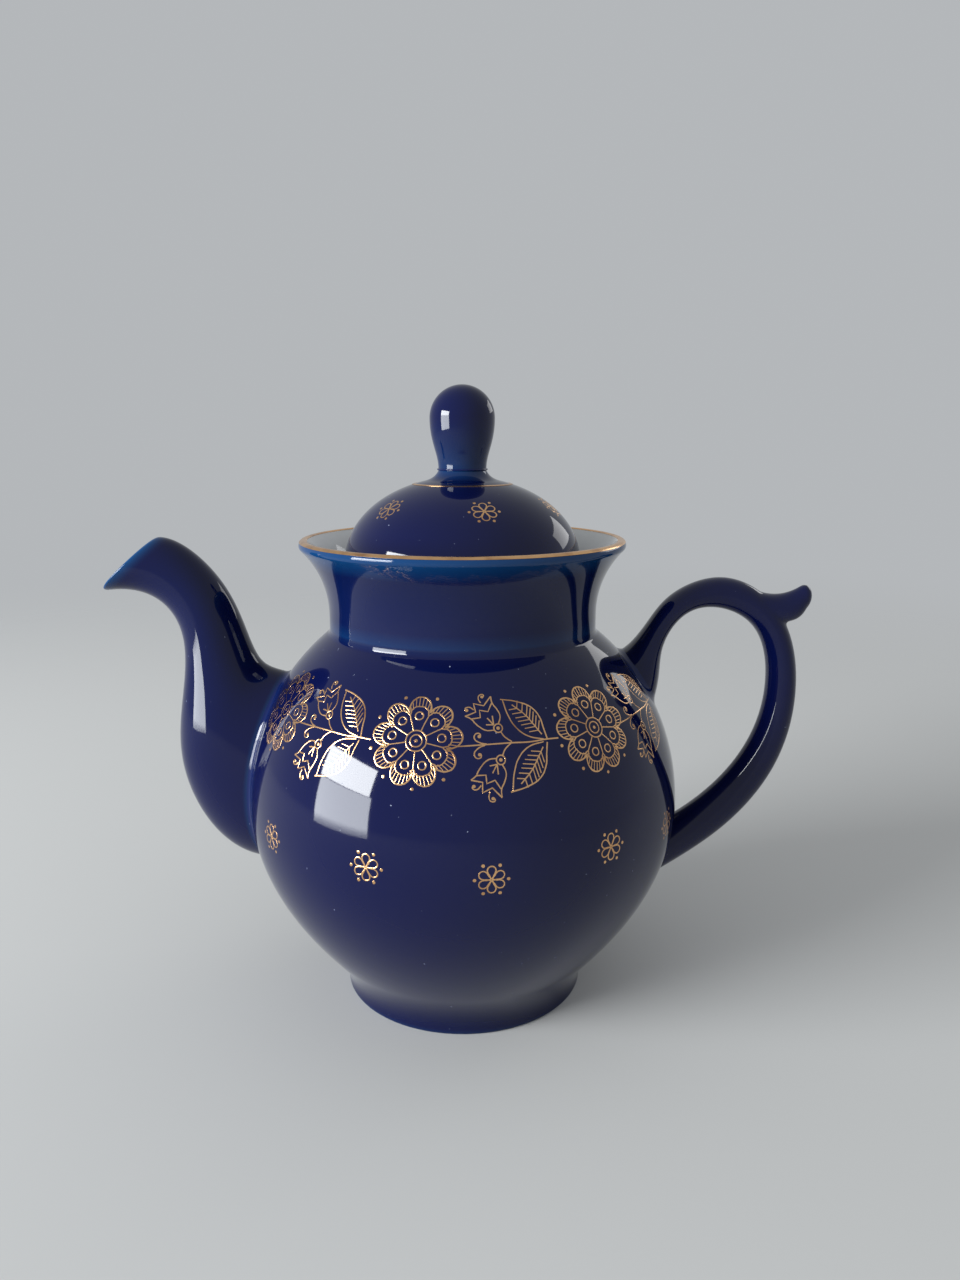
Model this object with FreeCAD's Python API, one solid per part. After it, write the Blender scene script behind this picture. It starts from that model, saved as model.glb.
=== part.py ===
import FreeCAD, Part
import math
import os

# Round porcelain teapot with a flared collar, an S-shaped spout, an ear handle with a thumb spur
# and a domed lid that lifts out. Millimetres, Z up: the pot stands on z = 0 with its axis on Z,
# the spout towards -X and the handle towards +X.

# Vessel
WALL = 4.0
FOOT_RADIUS = 48.5
FOOT_HEIGHT = 9.0
FOOT_RING_WIDTH = 6.0
FOOT_RECESS = 4.0
FOOT_COVE = 12.0
FOOT_EDGE = 1.0
BELLY_RADIUS = 85.0
BELLY_HEIGHT = 80.0
BELLY_PULL = 32.7
HAUNCH_PULL = 16.2
HAUNCH_SLOPE = 40.0
NECK_RADIUS = 52.0
NECK_LENGTH = 7.5
NECK_COVE = 2.0
FLARE_HEIGHT = 25.0
FLARE_WIDTH = 10.2

# Ledge in the collar that carries the lid
SEAT_RISE = 8.0
LEDGE_WIDTH = 6.0
LEDGE_THICKNESS = 4.0

# Strainer: one hole in the middle and a ring of holes round it
STRAINER_HOLE = 6.0
STRAINER_PITCH = 11.0
STRAINER_RING_HOLES = 6
STRAINER_RISE = 11.0

# Lid
LID_WALL = 4.0
LID_PLAY = 1.2
SKIRT_PLAY = 0.8
SKIRT_DEPTH = 11.0
BRIM_THICKNESS = 3.5
BRIM_STEP = 2.2
BRIM_EDGE = 1.2
BRIM_COVE = 0.6
DOME_SPRING = 11.8
DOME_RISE = 32.0
CROWN_RADIUS = 14.5
BOSS_RISE = 2.2
BOSS_COVE = 0.75

# Knob
KNOB_BASE_RADIUS = 9.2
KNOB_RADIUS = 12.4
KNOB_HEIGHT = 31.0
KNOB_PULL = 9.0
KNOB_WAIST_PULL = 5.5

# Slip seams between the castings: thickness, and how far the bead stands out round the joint
SEAM = 0.8
BEAD = 0.9

# Gilding: thickness, the part of the rounded lip that it covers in degrees above level, and the lid's line
GILT = 0.15
RIM_GILT_FROM = 35.0
RIM_GILT_TO = 125.0
LID_LINE_RADIUS = 18.8
LID_LINE_WIDTH = 0.9

# Spout stations from root to mouth. Each one gives its lower and its upper edge as reach beyond
# the widest line of the belly and height above it, and then its half width across the pot.
# The root is given by its two heights on the wall.
SPOUT_WALL = 3.5
SPOUT_MOUTH_WALL = 5.8
SPOUT_LIP_EDGE = 1.2
SPOUT_ROOT_LOW = -28.0
SPOUT_ROOT_HIGH = 48.0
SPOUT_ROOT_WIDTH = 21.0
SPOUT_STATIONS = [
    ((19.0, -12.5), (-8.5, 51.2), 19.5),
    ((28.4, 13.0), (-3.8, 54.8), 17.5),
    ((26.6, 42.0), (0.5, 65.0), 13.6),
    ((26.0, 67.0), (8.6, 84.0), 11.4),
    ((33.5, 78.4), (18.5, 96.0), 10.4),
    ((57.8, 82.0), (34.0, 103.2), 9.8),
]

# Handle stations from upper to lower root: outer edge, inner edge, half width, as on the spout
HANDLE_UPPER_HIGH = 58.0
HANDLE_UPPER_LOW = 33.0
HANDLE_UPPER_WIDTH = 14.0
HANDLE_LOWER_HIGH = -15.0
HANDLE_LOWER_LOW = -42.0
HANDLE_LOWER_WIDTH = 11.5
HANDLE_STATIONS = [
    ((-18.6, 61.0), (-7.0, 51.0), 11.0),
    ((-13.6, 67.4), (-6.3, 58.6), 8.4),
    ((-3.7, 80.1), (0.8, 71.6), 7.4),
    ((15.5, 87.6), (13.5, 75.7), 7.2),
    ((37.0, 77.0), (28.6, 69.0), 7.2),
    ((47.8, 45.0), (36.0, 46.0), 7.2),
    ((41.2, 10.8), (30.2, 20.4), 7.4),
    ((24.5, -12.8), (16.4, 1.2), 7.8),
    ((8.0, -26.0), (3.6, -9.8), 9.4),
]

# Thumb spur on the upper bend of the handle, from inside the handle to its round tip
SPUR_STATIONS = [
    ((12.0, 85.2), (20.0, 76.0), 5.8),
    ((27.0, 83.4), (34.0, 71.0), 6.2),
    ((38.0, 81.0), (44.8, 70.4), 6.2),
]
SPUR_TIP_OUTER = (47.0, 83.8)
SPUR_TIP_INNER = (49.8, 75.2)

NEAR = 0.05
STRAIGHT_UP = FreeCAD.Vector(0, 0, 1)
ORIGIN = FreeCAD.Vector(0, 0, 0)
FULL_TURN = 360

# Places worked out from the sizes above
NECK_ROOT = BELLY_HEIGHT + math.sqrt(BELLY_RADIUS ** 2 - NECK_RADIUS ** 2)
FLARE_START = NECK_ROOT + NECK_LENGTH
FLARE_RADIUS = (FLARE_HEIGHT ** 2 + FLARE_WIDTH ** 2) / (2 * FLARE_WIDTH)
FLARE_TURN = math.asin(FLARE_HEIGHT / FLARE_RADIUS)
FLARE_CENTRE = NECK_RADIUS + FLARE_RADIUS
BORE_RADIUS = NECK_RADIUS - WALL
LEDGE_BORE = BORE_RADIUS - LEDGE_WIDTH
SEAT = FLARE_START + SEAT_RISE
SEAT_WALL_RADIUS = FLARE_CENTRE - math.sqrt((FLARE_RADIUS + WALL) ** 2 - SEAT_RISE ** 2)
BRIM_RADIUS = SEAT_WALL_RADIUS - LID_PLAY
DOME_RADIUS = BRIM_RADIUS - BRIM_STEP
SKIRT_RADIUS = LEDGE_BORE - SKIRT_PLAY
DOME_BASE = SEAT + DOME_SPRING
BOSS_TOP = DOME_BASE + DOME_RISE + BOSS_RISE


def point(radius, height):
    """A point of a profile, in the half plane through the axis."""
    return FreeCAD.Vector(radius, 0, height)


def line(start, end):
    """A straight edge between two points."""
    return Part.LineSegment(start, end).toShape()


def bezier(*poles):
    """A smooth edge pulled by the given points."""
    curve = Part.BezierCurve()
    curve.setPoles(list(poles))
    return curve.toShape()


def arc(centre, radius, start, end):
    """An arc of a profile; angles in radians, from the outward radius upwards."""
    spots = []
    for angle in (start, (start + end) / 2, end):
        spots.append(centre + point(radius * math.cos(angle), radius * math.sin(angle)))
    return Part.Arc(*spots).toShape()


def turned(edges):
    """The solid of revolution of a closed profile."""
    face = Part.Face(Part.Wire(Part.__sortEdges__(edges)))
    return face.revolve(ORIGIN, STRAIGHT_UP, FULL_TURN)


def ring_edges(shape, radius, height):
    """The circular edges of a turned solid at a radius and a height."""
    found = []
    for edge in shape.Edges:
        place = edge.Vertexes[0].Point
        off = math.hypot(math.hypot(place.x, place.y) - radius, place.z - height)
        if off < NEAR and edge.Length > radius:
            found.append(edge)
    return found


def edges_like(shape, wire):
    """The edges of a shape that have the length and the middle of a closed wire."""
    found = []
    for edge in shape.Edges:
        shift = edge.CenterOfMass.sub(wire.CenterOfMass).Length
        if abs(edge.Length - wire.Length) < NEAR and shift < NEAR:
            found.append(edge)
    return found


def end_of(edge, last=True):
    """The last or the first point of an edge along its own direction."""
    return edge.valueAt(edge.LastParameter if last else edge.FirstParameter)


def haunch(grow):
    """Lower belly, from the widest line down to the foot, moved outwards by grow."""
    slope = math.radians(HAUNCH_SLOPE)
    corner = point(FOOT_RADIUS + grow * math.cos(slope), FOOT_HEIGHT - grow * math.sin(slope))
    pull = point(HAUNCH_PULL * math.sin(slope), HAUNCH_PULL * math.cos(slope))
    widest = point(BELLY_RADIUS + grow, BELLY_HEIGHT)
    return bezier(widest, widest - point(0, BELLY_PULL), corner + pull, corner)


def shoulder(grow, radius):
    """Upper belly, from the widest line up to the given radius, moved outwards by grow."""
    sphere = BELLY_RADIUS + grow
    return arc(point(0, BELLY_HEIGHT), sphere, 0, math.acos(radius / sphere))


def belly_core(grow):
    """The belly as a filled body, moved outwards by grow: what spout and handle are fitted to."""
    lower = haunch(grow)
    upper = shoulder(grow, 0.0)
    bottom = end_of(lower)
    edges = [lower, upper]
    edges.append(line(end_of(upper), point(0, bottom.z)))
    edges.append(line(point(0, bottom.z), bottom))
    return turned(edges)


def belly_skin():
    """The layer of slip on the belly that the seams are cut from."""
    edges = []
    for skin, film in ((haunch(0), haunch(SEAM)), (shoulder(0, NECK_RADIUS), shoulder(SEAM, NECK_RADIUS))):
        edges += [skin, film, line(end_of(skin), end_of(film))]
    return turned(edges)


def belly_radius_at(rise):
    """Outer radius of the belly at a height above its widest line."""
    if rise >= 0:
        return math.sqrt(BELLY_RADIUS ** 2 - rise ** 2)
    level = Part.Plane(point(0, BELLY_HEIGHT + rise), STRAIGHT_UP)
    return haunch(0).Curve.intersect(level)[0][0].X


def flare(offset, start, end):
    """Collar wall between two angles of its sweep; offset is measured inwards from outside."""
    centre = point(FLARE_CENTRE, FLARE_START)
    return arc(centre, FLARE_RADIUS + offset, math.pi - start, math.pi - end)


def lip_centre():
    """Middle of the rounded lip at the end of the collar."""
    return end_of(flare(WALL / 2, 0, FLARE_TURN))


def vessel_outside():
    """Outer profile from the foot up to the end of the collar, before the lip."""
    rise = line(point(FOOT_RADIUS, 0), point(FOOT_RADIUS, FOOT_HEIGHT))
    neck = line(point(NECK_RADIUS, NECK_ROOT), point(NECK_RADIUS, FLARE_START))
    return [rise, haunch(0), shoulder(0, NECK_RADIUS), neck, flare(0, 0, FLARE_TURN)]


def vessel_inside():
    """Inner profile from the end of the collar down to the middle of the floor."""
    seat_turn = math.asin(SEAT_RISE / (FLARE_RADIUS + WALL))
    collar = flare(WALL, seat_turn, FLARE_TURN)
    ledge_top = line(point(SEAT_WALL_RADIUS, SEAT), point(LEDGE_BORE, SEAT))
    under = SEAT - LEDGE_THICKNESS
    ledge_bore = line(point(LEDGE_BORE, SEAT), point(LEDGE_BORE, under))
    ledge_under = line(point(LEDGE_BORE, under), point(BORE_RADIUS, under - LEDGE_WIDTH))
    upper = shoulder(-WALL, BORE_RADIUS)
    bore = line(point(BORE_RADIUS, under - LEDGE_WIDTH), end_of(upper))
    lower = haunch(-WALL)
    floor = line(end_of(lower), point(0, end_of(lower).z))
    return [collar, ledge_top, ledge_bore, ledge_under, bore, upper, lower, floor]


def vessel_underside():
    """Profile below: from the middle of the floor to the bearing ring of the foot."""
    inner = FOOT_RADIUS - FOOT_RING_WIDTH
    axis = line(point(0, end_of(haunch(-WALL)).z), point(0, FOOT_RECESS))
    hollow = line(point(0, FOOT_RECESS), point(inner, FOOT_RECESS))
    wall = line(point(inner, FOOT_RECESS), point(inner, 0))
    ring = line(point(inner, 0), point(FOOT_RADIUS, 0))
    return [axis, hollow, wall, ring]


def strainer():
    """Rods that pierce the wall behind the spout: one in the middle and a ring round it."""
    spots = [(0.0, 0.0)]
    for index in range(STRAINER_RING_HOLES):
        angle = 2 * math.pi * index / STRAINER_RING_HOLES
        spots.append((STRAINER_PITCH * math.sin(angle), STRAINER_PITCH * math.cos(angle)))
    rods = []
    for across, up in spots:
        start = FreeCAD.Vector(-BELLY_RADIUS - WALL, across, BELLY_HEIGHT + STRAINER_RISE + up)
        rods.append(Part.makeCylinder(STRAINER_HOLE / 2, BELLY_RADIUS, start, FreeCAD.Vector(1, 0, 0)))
    return Part.makeCompound(rods)


def vessel():
    """Body with foot, belly, collar and lid ledge in one casting, pierced behind the spout."""
    lip = arc(lip_centre(), WALL / 2, -FLARE_TURN, math.pi - FLARE_TURN)
    body = turned(vessel_outside() + [lip] + vessel_inside() + vessel_underside())
    body = body.makeFillet(FOOT_COVE, ring_edges(body, FOOT_RADIUS, FOOT_HEIGHT))
    body = body.makeFillet(NECK_COVE, ring_edges(body, NECK_RADIUS, NECK_ROOT))
    body = body.makeFillet(FOOT_EDGE, ring_edges(body, FOOT_RADIUS, 0))
    body = body.makeFillet(FOOT_EDGE, ring_edges(body, FOOT_RADIUS - FOOT_RING_WIDTH, 0))
    return body.cut(strainer()).Solids[0]


def station(side, outer, inner, half_width, grow=0.0, grow_along=None):
    """An oval section between two edge points in the middle plane of the pot.

    It grows outwards by grow, or along the middle plane by grow_along where that is given.
    """
    ends = []
    for out, up in (outer, inner):
        ends.append(FreeCAD.Vector(side * (BELLY_RADIUS + out), 0, BELLY_HEIGHT + up))
    middle = (ends[0] + ends[1]) / 2
    along = (ends[0] - ends[1]) / 2
    along = along * (1 + (grow if grow_along is None else grow_along) / along.Length)
    across = FreeCAD.Vector(0, half_width + grow, 0)
    normal = along.cross(across).normalize()
    placed = FreeCAD.Matrix()
    placed.setCol(0, along)
    placed.setCol(1, across)
    placed.setCol(2, normal)
    placed.setCol(3, middle)
    return Part.Wire(Part.Circle().toShape().transformGeometry(placed))


def wall_station(low, high, half_width):
    """A root station whose two edges lie on the belly at the given heights."""
    edges = []
    for rise in (low, high):
        edges.append((belly_radius_at(rise) - BELLY_RADIUS - WALL, rise))
    return edges[0], edges[1], half_width


def horn(sections):
    """A smooth body through a row of closed sections."""
    return Part.makeLoft(sections, True, False)


def hollow_horn(outer_sections, bore_sections):
    """A horn with open ends and a bore that follows it."""
    faces = []
    for outer, inner in zip(horn(outer_sections).Faces, horn(bore_sections).Faces):
        if isinstance(outer.Surface, Part.Plane):
            faces += outer.cut(inner).Faces
        else:
            faces += [outer, inner.reversed()]
    shell = Part.makeShell(faces)
    shell.sewShape()
    return Part.Solid(shell)


def spout_sections(grow):
    """Spout sections from root to mouth, moved outwards by grow."""
    root = wall_station(SPOUT_ROOT_LOW, SPOUT_ROOT_HIGH, SPOUT_ROOT_WIDTH)
    return [station(-1, *row, grow) for row in [root] + SPOUT_STATIONS]


def spout_bore():
    """Sections of the channel in the spout; the mouth is cut slantwise through its wall."""
    mouth = station(-1, *SPOUT_STATIONS[-1], -SPOUT_WALL, -SPOUT_MOUTH_WALL)
    return spout_sections(-SPOUT_WALL)[:-1] + [mouth]


def handle_sections(grow):
    """Handle sections from the upper to the lower root, moved outwards by grow."""
    upper = wall_station(HANDLE_UPPER_HIGH, HANDLE_UPPER_LOW, HANDLE_UPPER_WIDTH)
    lower = wall_station(HANDLE_LOWER_LOW, HANDLE_LOWER_HIGH, HANDLE_LOWER_WIDTH)
    return [station(1, *row, grow) for row in [upper] + HANDLE_STATIONS + [lower]]


def spout():
    """Hollow spout, cut to the belly less the seam, with a rounded lip."""
    sections = spout_sections(0.0)
    bore = spout_bore()
    tube = hollow_horn(sections, bore).cut(belly_core(SEAM))
    lip = edges_like(tube, sections[-1]) + edges_like(tube, bore[-1])
    return tube.makeFillet(SPOUT_LIP_EDGE, lip).Solids[0]


def spout_luting():
    """Slip seam between the spout and the belly, with a bead round the joint."""
    return hollow_horn(spout_sections(BEAD), spout_bore()).common(belly_skin()).Solids[0]


def thumb_spur():
    """Spur on the upper bend of the handle, closed by a round tip."""
    tip_radius = math.dist(SPUR_TIP_OUTER, SPUR_TIP_INNER) / 2
    tip = station(1, SPUR_TIP_OUTER, SPUR_TIP_INNER, tip_radius)
    body = horn([station(1, *row) for row in SPUR_STATIONS] + [tip])
    return body.fuse(Part.makeSphere(tip_radius, tip.CenterOfMass))


def handle():
    """Ear handle with its thumb spur, cut to the belly less the seam."""
    return horn(handle_sections(0.0)).cut(belly_core(SEAM)).fuse(thumb_spur()).Solids[0]


def handle_lutings():
    """Slip seams at the lower and the upper root of the handle."""
    seams = horn(handle_sections(BEAD)).common(belly_skin())
    return sorted(seams.Solids, key=lambda solid: solid.CenterOfMass.z)


def oval(radius, rise, base, end_radius):
    """Stretch of a quarter oval, from its widest line up to a smaller radius."""
    turn = math.acos(end_radius / radius)
    pull = 4 / 3 * math.tan(turn / 4)
    start = point(radius, base)
    end = point(end_radius, base + rise * math.sin(turn))
    leave = point(radius * math.sin(turn), -rise * math.cos(turn)) * pull
    return bezier(start, start + point(0, rise) * pull, end + leave, end)


def boss(dome):
    """Cove from the dome up to the seat of the knob."""
    start = end_of(dome)
    slope = dome.tangentAt(dome.LastParameter)
    run = (start.x - KNOB_BASE_RADIUS) * BOSS_COVE
    return bezier(start, start + slope * (run / abs(slope.x)), point(KNOB_BASE_RADIUS, BOSS_TOP))


def lid():
    """Domed lid with a brim that rests on the ledge and a skirt that keeps it in the collar."""
    brim_top = SEAT + BRIM_THICKNESS
    dome = oval(DOME_RADIUS, DOME_RISE, DOME_BASE, CROWN_RADIUS)
    skirt_bore = SKIRT_RADIUS - LID_WALL
    crown = oval(skirt_bore, DOME_RISE + DOME_SPRING - LID_WALL, SEAT, 0.0)
    corners = [
        point(skirt_bore, SEAT),
        point(skirt_bore, SEAT - SKIRT_DEPTH),
        point(SKIRT_RADIUS, SEAT - SKIRT_DEPTH),
        point(SKIRT_RADIUS, SEAT),
        point(BRIM_RADIUS, SEAT),
        point(BRIM_RADIUS, brim_top),
        point(DOME_RADIUS, brim_top),
        point(DOME_RADIUS, DOME_BASE),
    ]
    edges = [line(start, end) for start, end in zip(corners, corners[1:])]
    edges += [dome, boss(dome)]
    edges.append(line(point(KNOB_BASE_RADIUS, BOSS_TOP), point(0, BOSS_TOP)))
    edges.append(line(point(0, BOSS_TOP), end_of(crown)))
    edges.append(crown)
    body = turned(edges)
    rounded = ring_edges(body, BRIM_RADIUS, SEAT) + ring_edges(body, BRIM_RADIUS, brim_top)
    body = body.makeFillet(BRIM_EDGE, rounded)
    return body.makeFillet(BRIM_COVE, ring_edges(body, DOME_RADIUS, brim_top)).Solids[0]


def knob_luting():
    """Slip seam between the lid and the knob."""
    return Part.makeCylinder(KNOB_BASE_RADIUS + BEAD, SEAM, point(0, BOSS_TOP))


def knob():
    """Pear-shaped knob with a waist above the lid."""
    base = BOSS_TOP + SEAM
    widest = base + KNOB_HEIGHT - KNOB_RADIUS
    stem = bezier(
        point(KNOB_BASE_RADIUS, base),
        point(KNOB_BASE_RADIUS, base + KNOB_WAIST_PULL),
        point(KNOB_RADIUS, widest - KNOB_PULL),
        point(KNOB_RADIUS, widest),
    )
    top = arc(point(0, widest), KNOB_RADIUS, 0, math.pi / 2)
    axis = line(point(0, base + KNOB_HEIGHT), point(0, base))
    return turned([stem, top, axis, line(point(0, base), point(KNOB_BASE_RADIUS, base))])


def rim_gilding():
    """Fired gold over the top of the rounded lip."""
    centre = lip_centre()
    start, end = math.radians(RIM_GILT_FROM), math.radians(RIM_GILT_TO)
    skin = arc(centre, WALL / 2, start, end)
    film = arc(centre, WALL / 2 + GILT, start, end)
    ends = [line(end_of(skin, last), end_of(film, last)) for last in (False, True)]
    return turned([skin, film] + ends)


def lid_gilding():
    """Fired gold line round the crown of the lid."""
    corners = []
    for radius in (LID_LINE_RADIUS - LID_LINE_WIDTH / 2, LID_LINE_RADIUS + LID_LINE_WIDTH / 2):
        dome = oval(DOME_RADIUS, DOME_RISE, DOME_BASE, radius)
        slope = dome.tangentAt(dome.LastParameter)
        outward = point(slope.z, -slope.x)
        corners.append((end_of(dome) - outward * LID_WALL / 2, end_of(dome) + outward * GILT))
    (inner_low, inner_high), (outer_low, outer_high) = corners
    outline = [inner_low, inner_high, outer_high, outer_low, inner_low]
    band = turned([line(start, end) for start, end in zip(outline, outline[1:])])
    return band.cut(lid()).Solids[0]


def build():
    """Every node by its name."""
    lower, upper = handle_lutings()
    return {
        "vessel": vessel(),
        "spout": spout(),
        "handle": handle(),
        "lid": lid(),
        "knob": knob(),
        "spout_luting": spout_luting(),
        "handle_upper_luting": upper,
        "handle_lower_luting": lower,
        "knob_luting": knob_luting(),
        "rim_gilding": rim_gilding(),
        "lid_gilding": lid_gilding(),
    }


os.makedirs("parts", exist_ok=True)
for name, shape in build().items():
    shape.exportStep("parts/" + name + ".step")
    print(name, shape.ShapeType, len(shape.Solids), shape.isValid(), round(shape.Volume, 1))
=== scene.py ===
"""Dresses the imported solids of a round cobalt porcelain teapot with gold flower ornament."""

import logging
import math
from dataclasses import dataclass, field
from enum import Enum
from typing import Any, Callable

import bmesh
import bpy
import numpy as np
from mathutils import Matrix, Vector


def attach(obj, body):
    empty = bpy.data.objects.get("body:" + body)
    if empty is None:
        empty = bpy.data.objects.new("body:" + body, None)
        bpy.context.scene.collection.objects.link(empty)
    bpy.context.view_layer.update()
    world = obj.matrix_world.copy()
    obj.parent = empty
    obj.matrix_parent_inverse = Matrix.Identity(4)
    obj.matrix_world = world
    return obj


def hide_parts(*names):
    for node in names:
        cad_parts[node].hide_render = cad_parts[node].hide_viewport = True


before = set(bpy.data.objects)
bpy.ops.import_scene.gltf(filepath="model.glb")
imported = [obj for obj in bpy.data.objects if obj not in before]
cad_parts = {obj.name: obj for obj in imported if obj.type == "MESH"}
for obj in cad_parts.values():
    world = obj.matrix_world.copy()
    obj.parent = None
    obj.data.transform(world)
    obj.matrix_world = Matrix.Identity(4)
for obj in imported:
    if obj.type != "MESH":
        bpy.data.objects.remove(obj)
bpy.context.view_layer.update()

# Lengths are written in millimetres and angles in degrees; meshes are built in metres.
MM = 0.001
# Neighbours in a half section that lie closer than this are one point.
SAME_POINT = 1e-4
LOG = logging.getLogger("teapot")

Point = tuple[float, float]
Colour = tuple[float, float, float]
Point3 = tuple[float, float, float]


class Body(Enum):
    """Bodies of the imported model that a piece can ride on."""

    POT = "pot"
    LID = "lid"


class Slot(Enum):
    """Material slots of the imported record."""

    COBALT = "cobalt_glaze"
    SEAM = "glazed_seam"
    GOLD = "gilding"


class Corner(Enum):
    """How a drawn stroke runs through its points."""

    ROUND = "BEZIER"
    SHARP = "POLY"


class Nodes:
    """A node tree that is written down one node at a time."""

    def __init__(self, tree: bpy.types.NodeTree) -> None:
        """Starts on an existing tree."""
        self.tree = tree

    def add(self, kind: str, inputs: dict[str | int, Any] | None = None, **settings: Any) -> bpy.types.Node:
        """Adds a node and feeds it.

        Args:
            kind: Blender's name of the node type.
            inputs: Values or output sockets for its inputs, by name or place.
            settings: Properties of the node itself.

        Returns:
            The new node.
        """
        node = self.tree.nodes.new(kind)
        for key, value in settings.items():
            setattr(node, key, value)
        for key, value in (inputs or {}).items():
            if isinstance(value, bpy.types.NodeSocket):
                self.tree.links.new(value, node.inputs[key])
            else:
                node.inputs[key].default_value = value
        return node

    def math(self, operation: str, first: Any, second: Any = 0.0) -> bpy.types.NodeSocket:
        """Adds a calculation with two numbers and returns its result."""
        return self.add("ShaderNodeMath", {0: first, 1: second}, operation=operation).outputs[0]

    def vector(self, operation: str, first: Any, second: Any = (0, 0, 0)) -> bpy.types.NodeSocket:
        """Adds a calculation with two vectors and returns its vector result."""
        node = self.add("ShaderNodeVectorMath", {0: first, 1: second}, operation=operation)
        return node.outputs["Vector"]

    def xyz(self, x: Any, y: Any, z: Any) -> bpy.types.NodeSocket:
        """Adds a vector made of three numbers."""
        return self.add("ShaderNodeCombineXYZ", {"X": x, "Y": y, "Z": z}).outputs["Vector"]

    def link(self, source: bpy.types.NodeSocket, target: bpy.types.NodeSocket) -> None:
        """Leads an output to an input."""
        self.tree.links.new(source, target)

    def place(self) -> bpy.types.NodeSocket:
        """Place on the piece, in its own coordinates."""
        return self.add("ShaderNodeTexCoord").outputs["Object"]

    def noise(self, place: bpy.types.NodeSocket, scale: float, detail: float = 2.0) -> bpy.types.NodeSocket:
        """Adds a noise of the given scale and returns its value."""
        inputs = {"Vector": place, "Scale": scale, "Detail": detail}
        return self.add("ShaderNodeTexNoise", inputs).outputs[0]

    def ramp(self, value: Any, low: float, high: float, **settings: Any) -> bpy.types.NodeSocket:
        """Adds a rise from 0 at the low value to 1 at the high one."""
        limits = {"Value": value, "From Min": low, "From Max": high}
        return self.add("ShaderNodeMapRange", limits, **settings).outputs[0]

    def blend(self, share: Any, first: Any, second: Any) -> bpy.types.NodeSocket:
        """Adds a mix of two colours, each written down or from a socket."""
        ends = [end if isinstance(end, bpy.types.NodeSocket) else (*end, 1.0) for end in (first, second)]
        return self.add("ShaderNodeMix", {0: share, 6: ends[0], 7: ends[1]}, data_type="RGBA").outputs[2]


class FormTree(Nodes):
    """A Geometry Nodes tree with named inputs that makes one kind of form."""

    def __init__(self, name: str, inputs: dict[str, tuple[str, ...]]) -> None:
        """Makes the empty tree.

        Args:
            name: Name of the tree.
            inputs: Labels of the inputs of each socket type.
        """
        group = bpy.data.node_groups.new(name, "GeometryNodeTree")
        super().__init__(group)
        group.interface.new_socket("Form", in_out="OUTPUT", socket_type="NodeSocketGeometry")
        self.identifiers = {}
        for kind, labels in inputs.items():
            for label in labels:
                socket = group.interface.new_socket(label, in_out="INPUT", socket_type="NodeSocket" + kind)
                self.identifiers[label] = socket.identifier
        self.given = group.nodes.new("NodeGroupInput").outputs

    def shape_of(self, label: str) -> bpy.types.NodeSocket:
        """Geometry of the object given under a label."""
        return self.add("GeometryNodeObjectInfo", {"Object": self.given[label]}).outputs["Geometry"]

    def turn(self, x: Any, y: Any, z: Any) -> bpy.types.NodeSocket:
        """A rotation made of three angles in radians."""
        return self.add("FunctionNodeEulerToRotation", {"Euler": self.xyz(x, y, z)}).outputs["Rotation"]

    def index(self) -> bpy.types.NodeSocket:
        """Number of each point."""
        return self.add("GeometryNodeInputIndex").outputs[0]

    def position(self) -> bpy.types.NodeSocket:
        """Place of each point."""
        return self.add("GeometryNodeInputPosition").outputs[0]

    def named(self, name: str, kind: str = "FLOAT") -> bpy.types.NodeSocket:
        """Value that each point carries under a name."""
        return self.add("GeometryNodeInputNamedAttribute", {"Name": name}, data_type=kind).outputs[0]

    def stored(self, form: Any, name: str, value: Any) -> bpy.types.NodeSocket:
        """Writes a number at each point of a form under a name.

        Args:
            form: The form.
            name: Name of the number.
            value: The number at each point.

        Returns:
            The form with its numbers.
        """
        kind = {"data_type": "FLOAT", "domain": "POINT"}
        inputs = {"Geometry": form, "Name": name, "Value": value}
        return self.add("GeometryNodeStoreNamedAttribute", inputs, **kind).outputs[0]

    def moved(self, form: Any, place: Any) -> bpy.types.NodeSocket:
        """The form, with its points put in their place."""
        return self.add("GeometryNodeSetPosition", {"Geometry": form, "Position": place}).outputs[0]

    def copies(self, points: Any, form: Any, **more: Any) -> bpy.types.NodeSocket:
        """Copies of a form on points, turned or scaled where that is given."""
        inputs = {"Points": points, "Instance": form, **more}
        return self.add("GeometryNodeInstanceOnPoints", inputs).outputs[0]

    def realized(self, form: Any) -> bpy.types.NodeSocket:
        """The form, with its copies made real."""
        return self.add("GeometryNodeRealizeInstances", {"Geometry": form}).outputs[0]

    def dressed(self, form: Any, material: Any, where: Any = True) -> bpy.types.NodeSocket:
        """The form in a material, all over or where a choice holds."""
        inputs = {"Geometry": form, "Selection": where, "Material": material}
        return self.add("GeometryNodeSetMaterial", inputs).outputs[0]

    def finish(self, geometry: bpy.types.NodeSocket) -> None:
        """Sends the geometry to the tree's output."""
        self.add("NodeGroupOutput", {"Form": geometry})

    def bake(self, name: str, values: dict[str, Any]) -> bpy.types.Object:
        """Runs the tree and turns its result into a plain mesh object.

        Args:
            name: Name of the finished piece.
            values: A value for each named input.

        Returns:
            The piece, with its place in its mesh.
        """
        carrier = linked(name + "_form", bpy.data.meshes.new(name + "_form"))
        modifier = carrier.modifiers.new("form", "NODES")
        modifier.node_group = self.tree
        for label, value in values.items():
            modifier[self.identifiers[label]] = value
        return linked(name, frozen(carrier))


def linked(name: str, data: bpy.types.ID | None) -> bpy.types.Object:
    """Puts an object with the given data into the scene.

    Args:
        name: Name of the object.
        data: Its mesh, curve, lamp or camera.

    Returns:
        The new object.
    """
    thing = bpy.data.objects.new(name, data)
    bpy.context.scene.collection.objects.link(thing)
    return thing


def drop(*things: bpy.types.Object) -> None:
    """Deletes helper objects that no piece needs any more."""
    for thing in things:
        bpy.data.objects.remove(thing)


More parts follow.
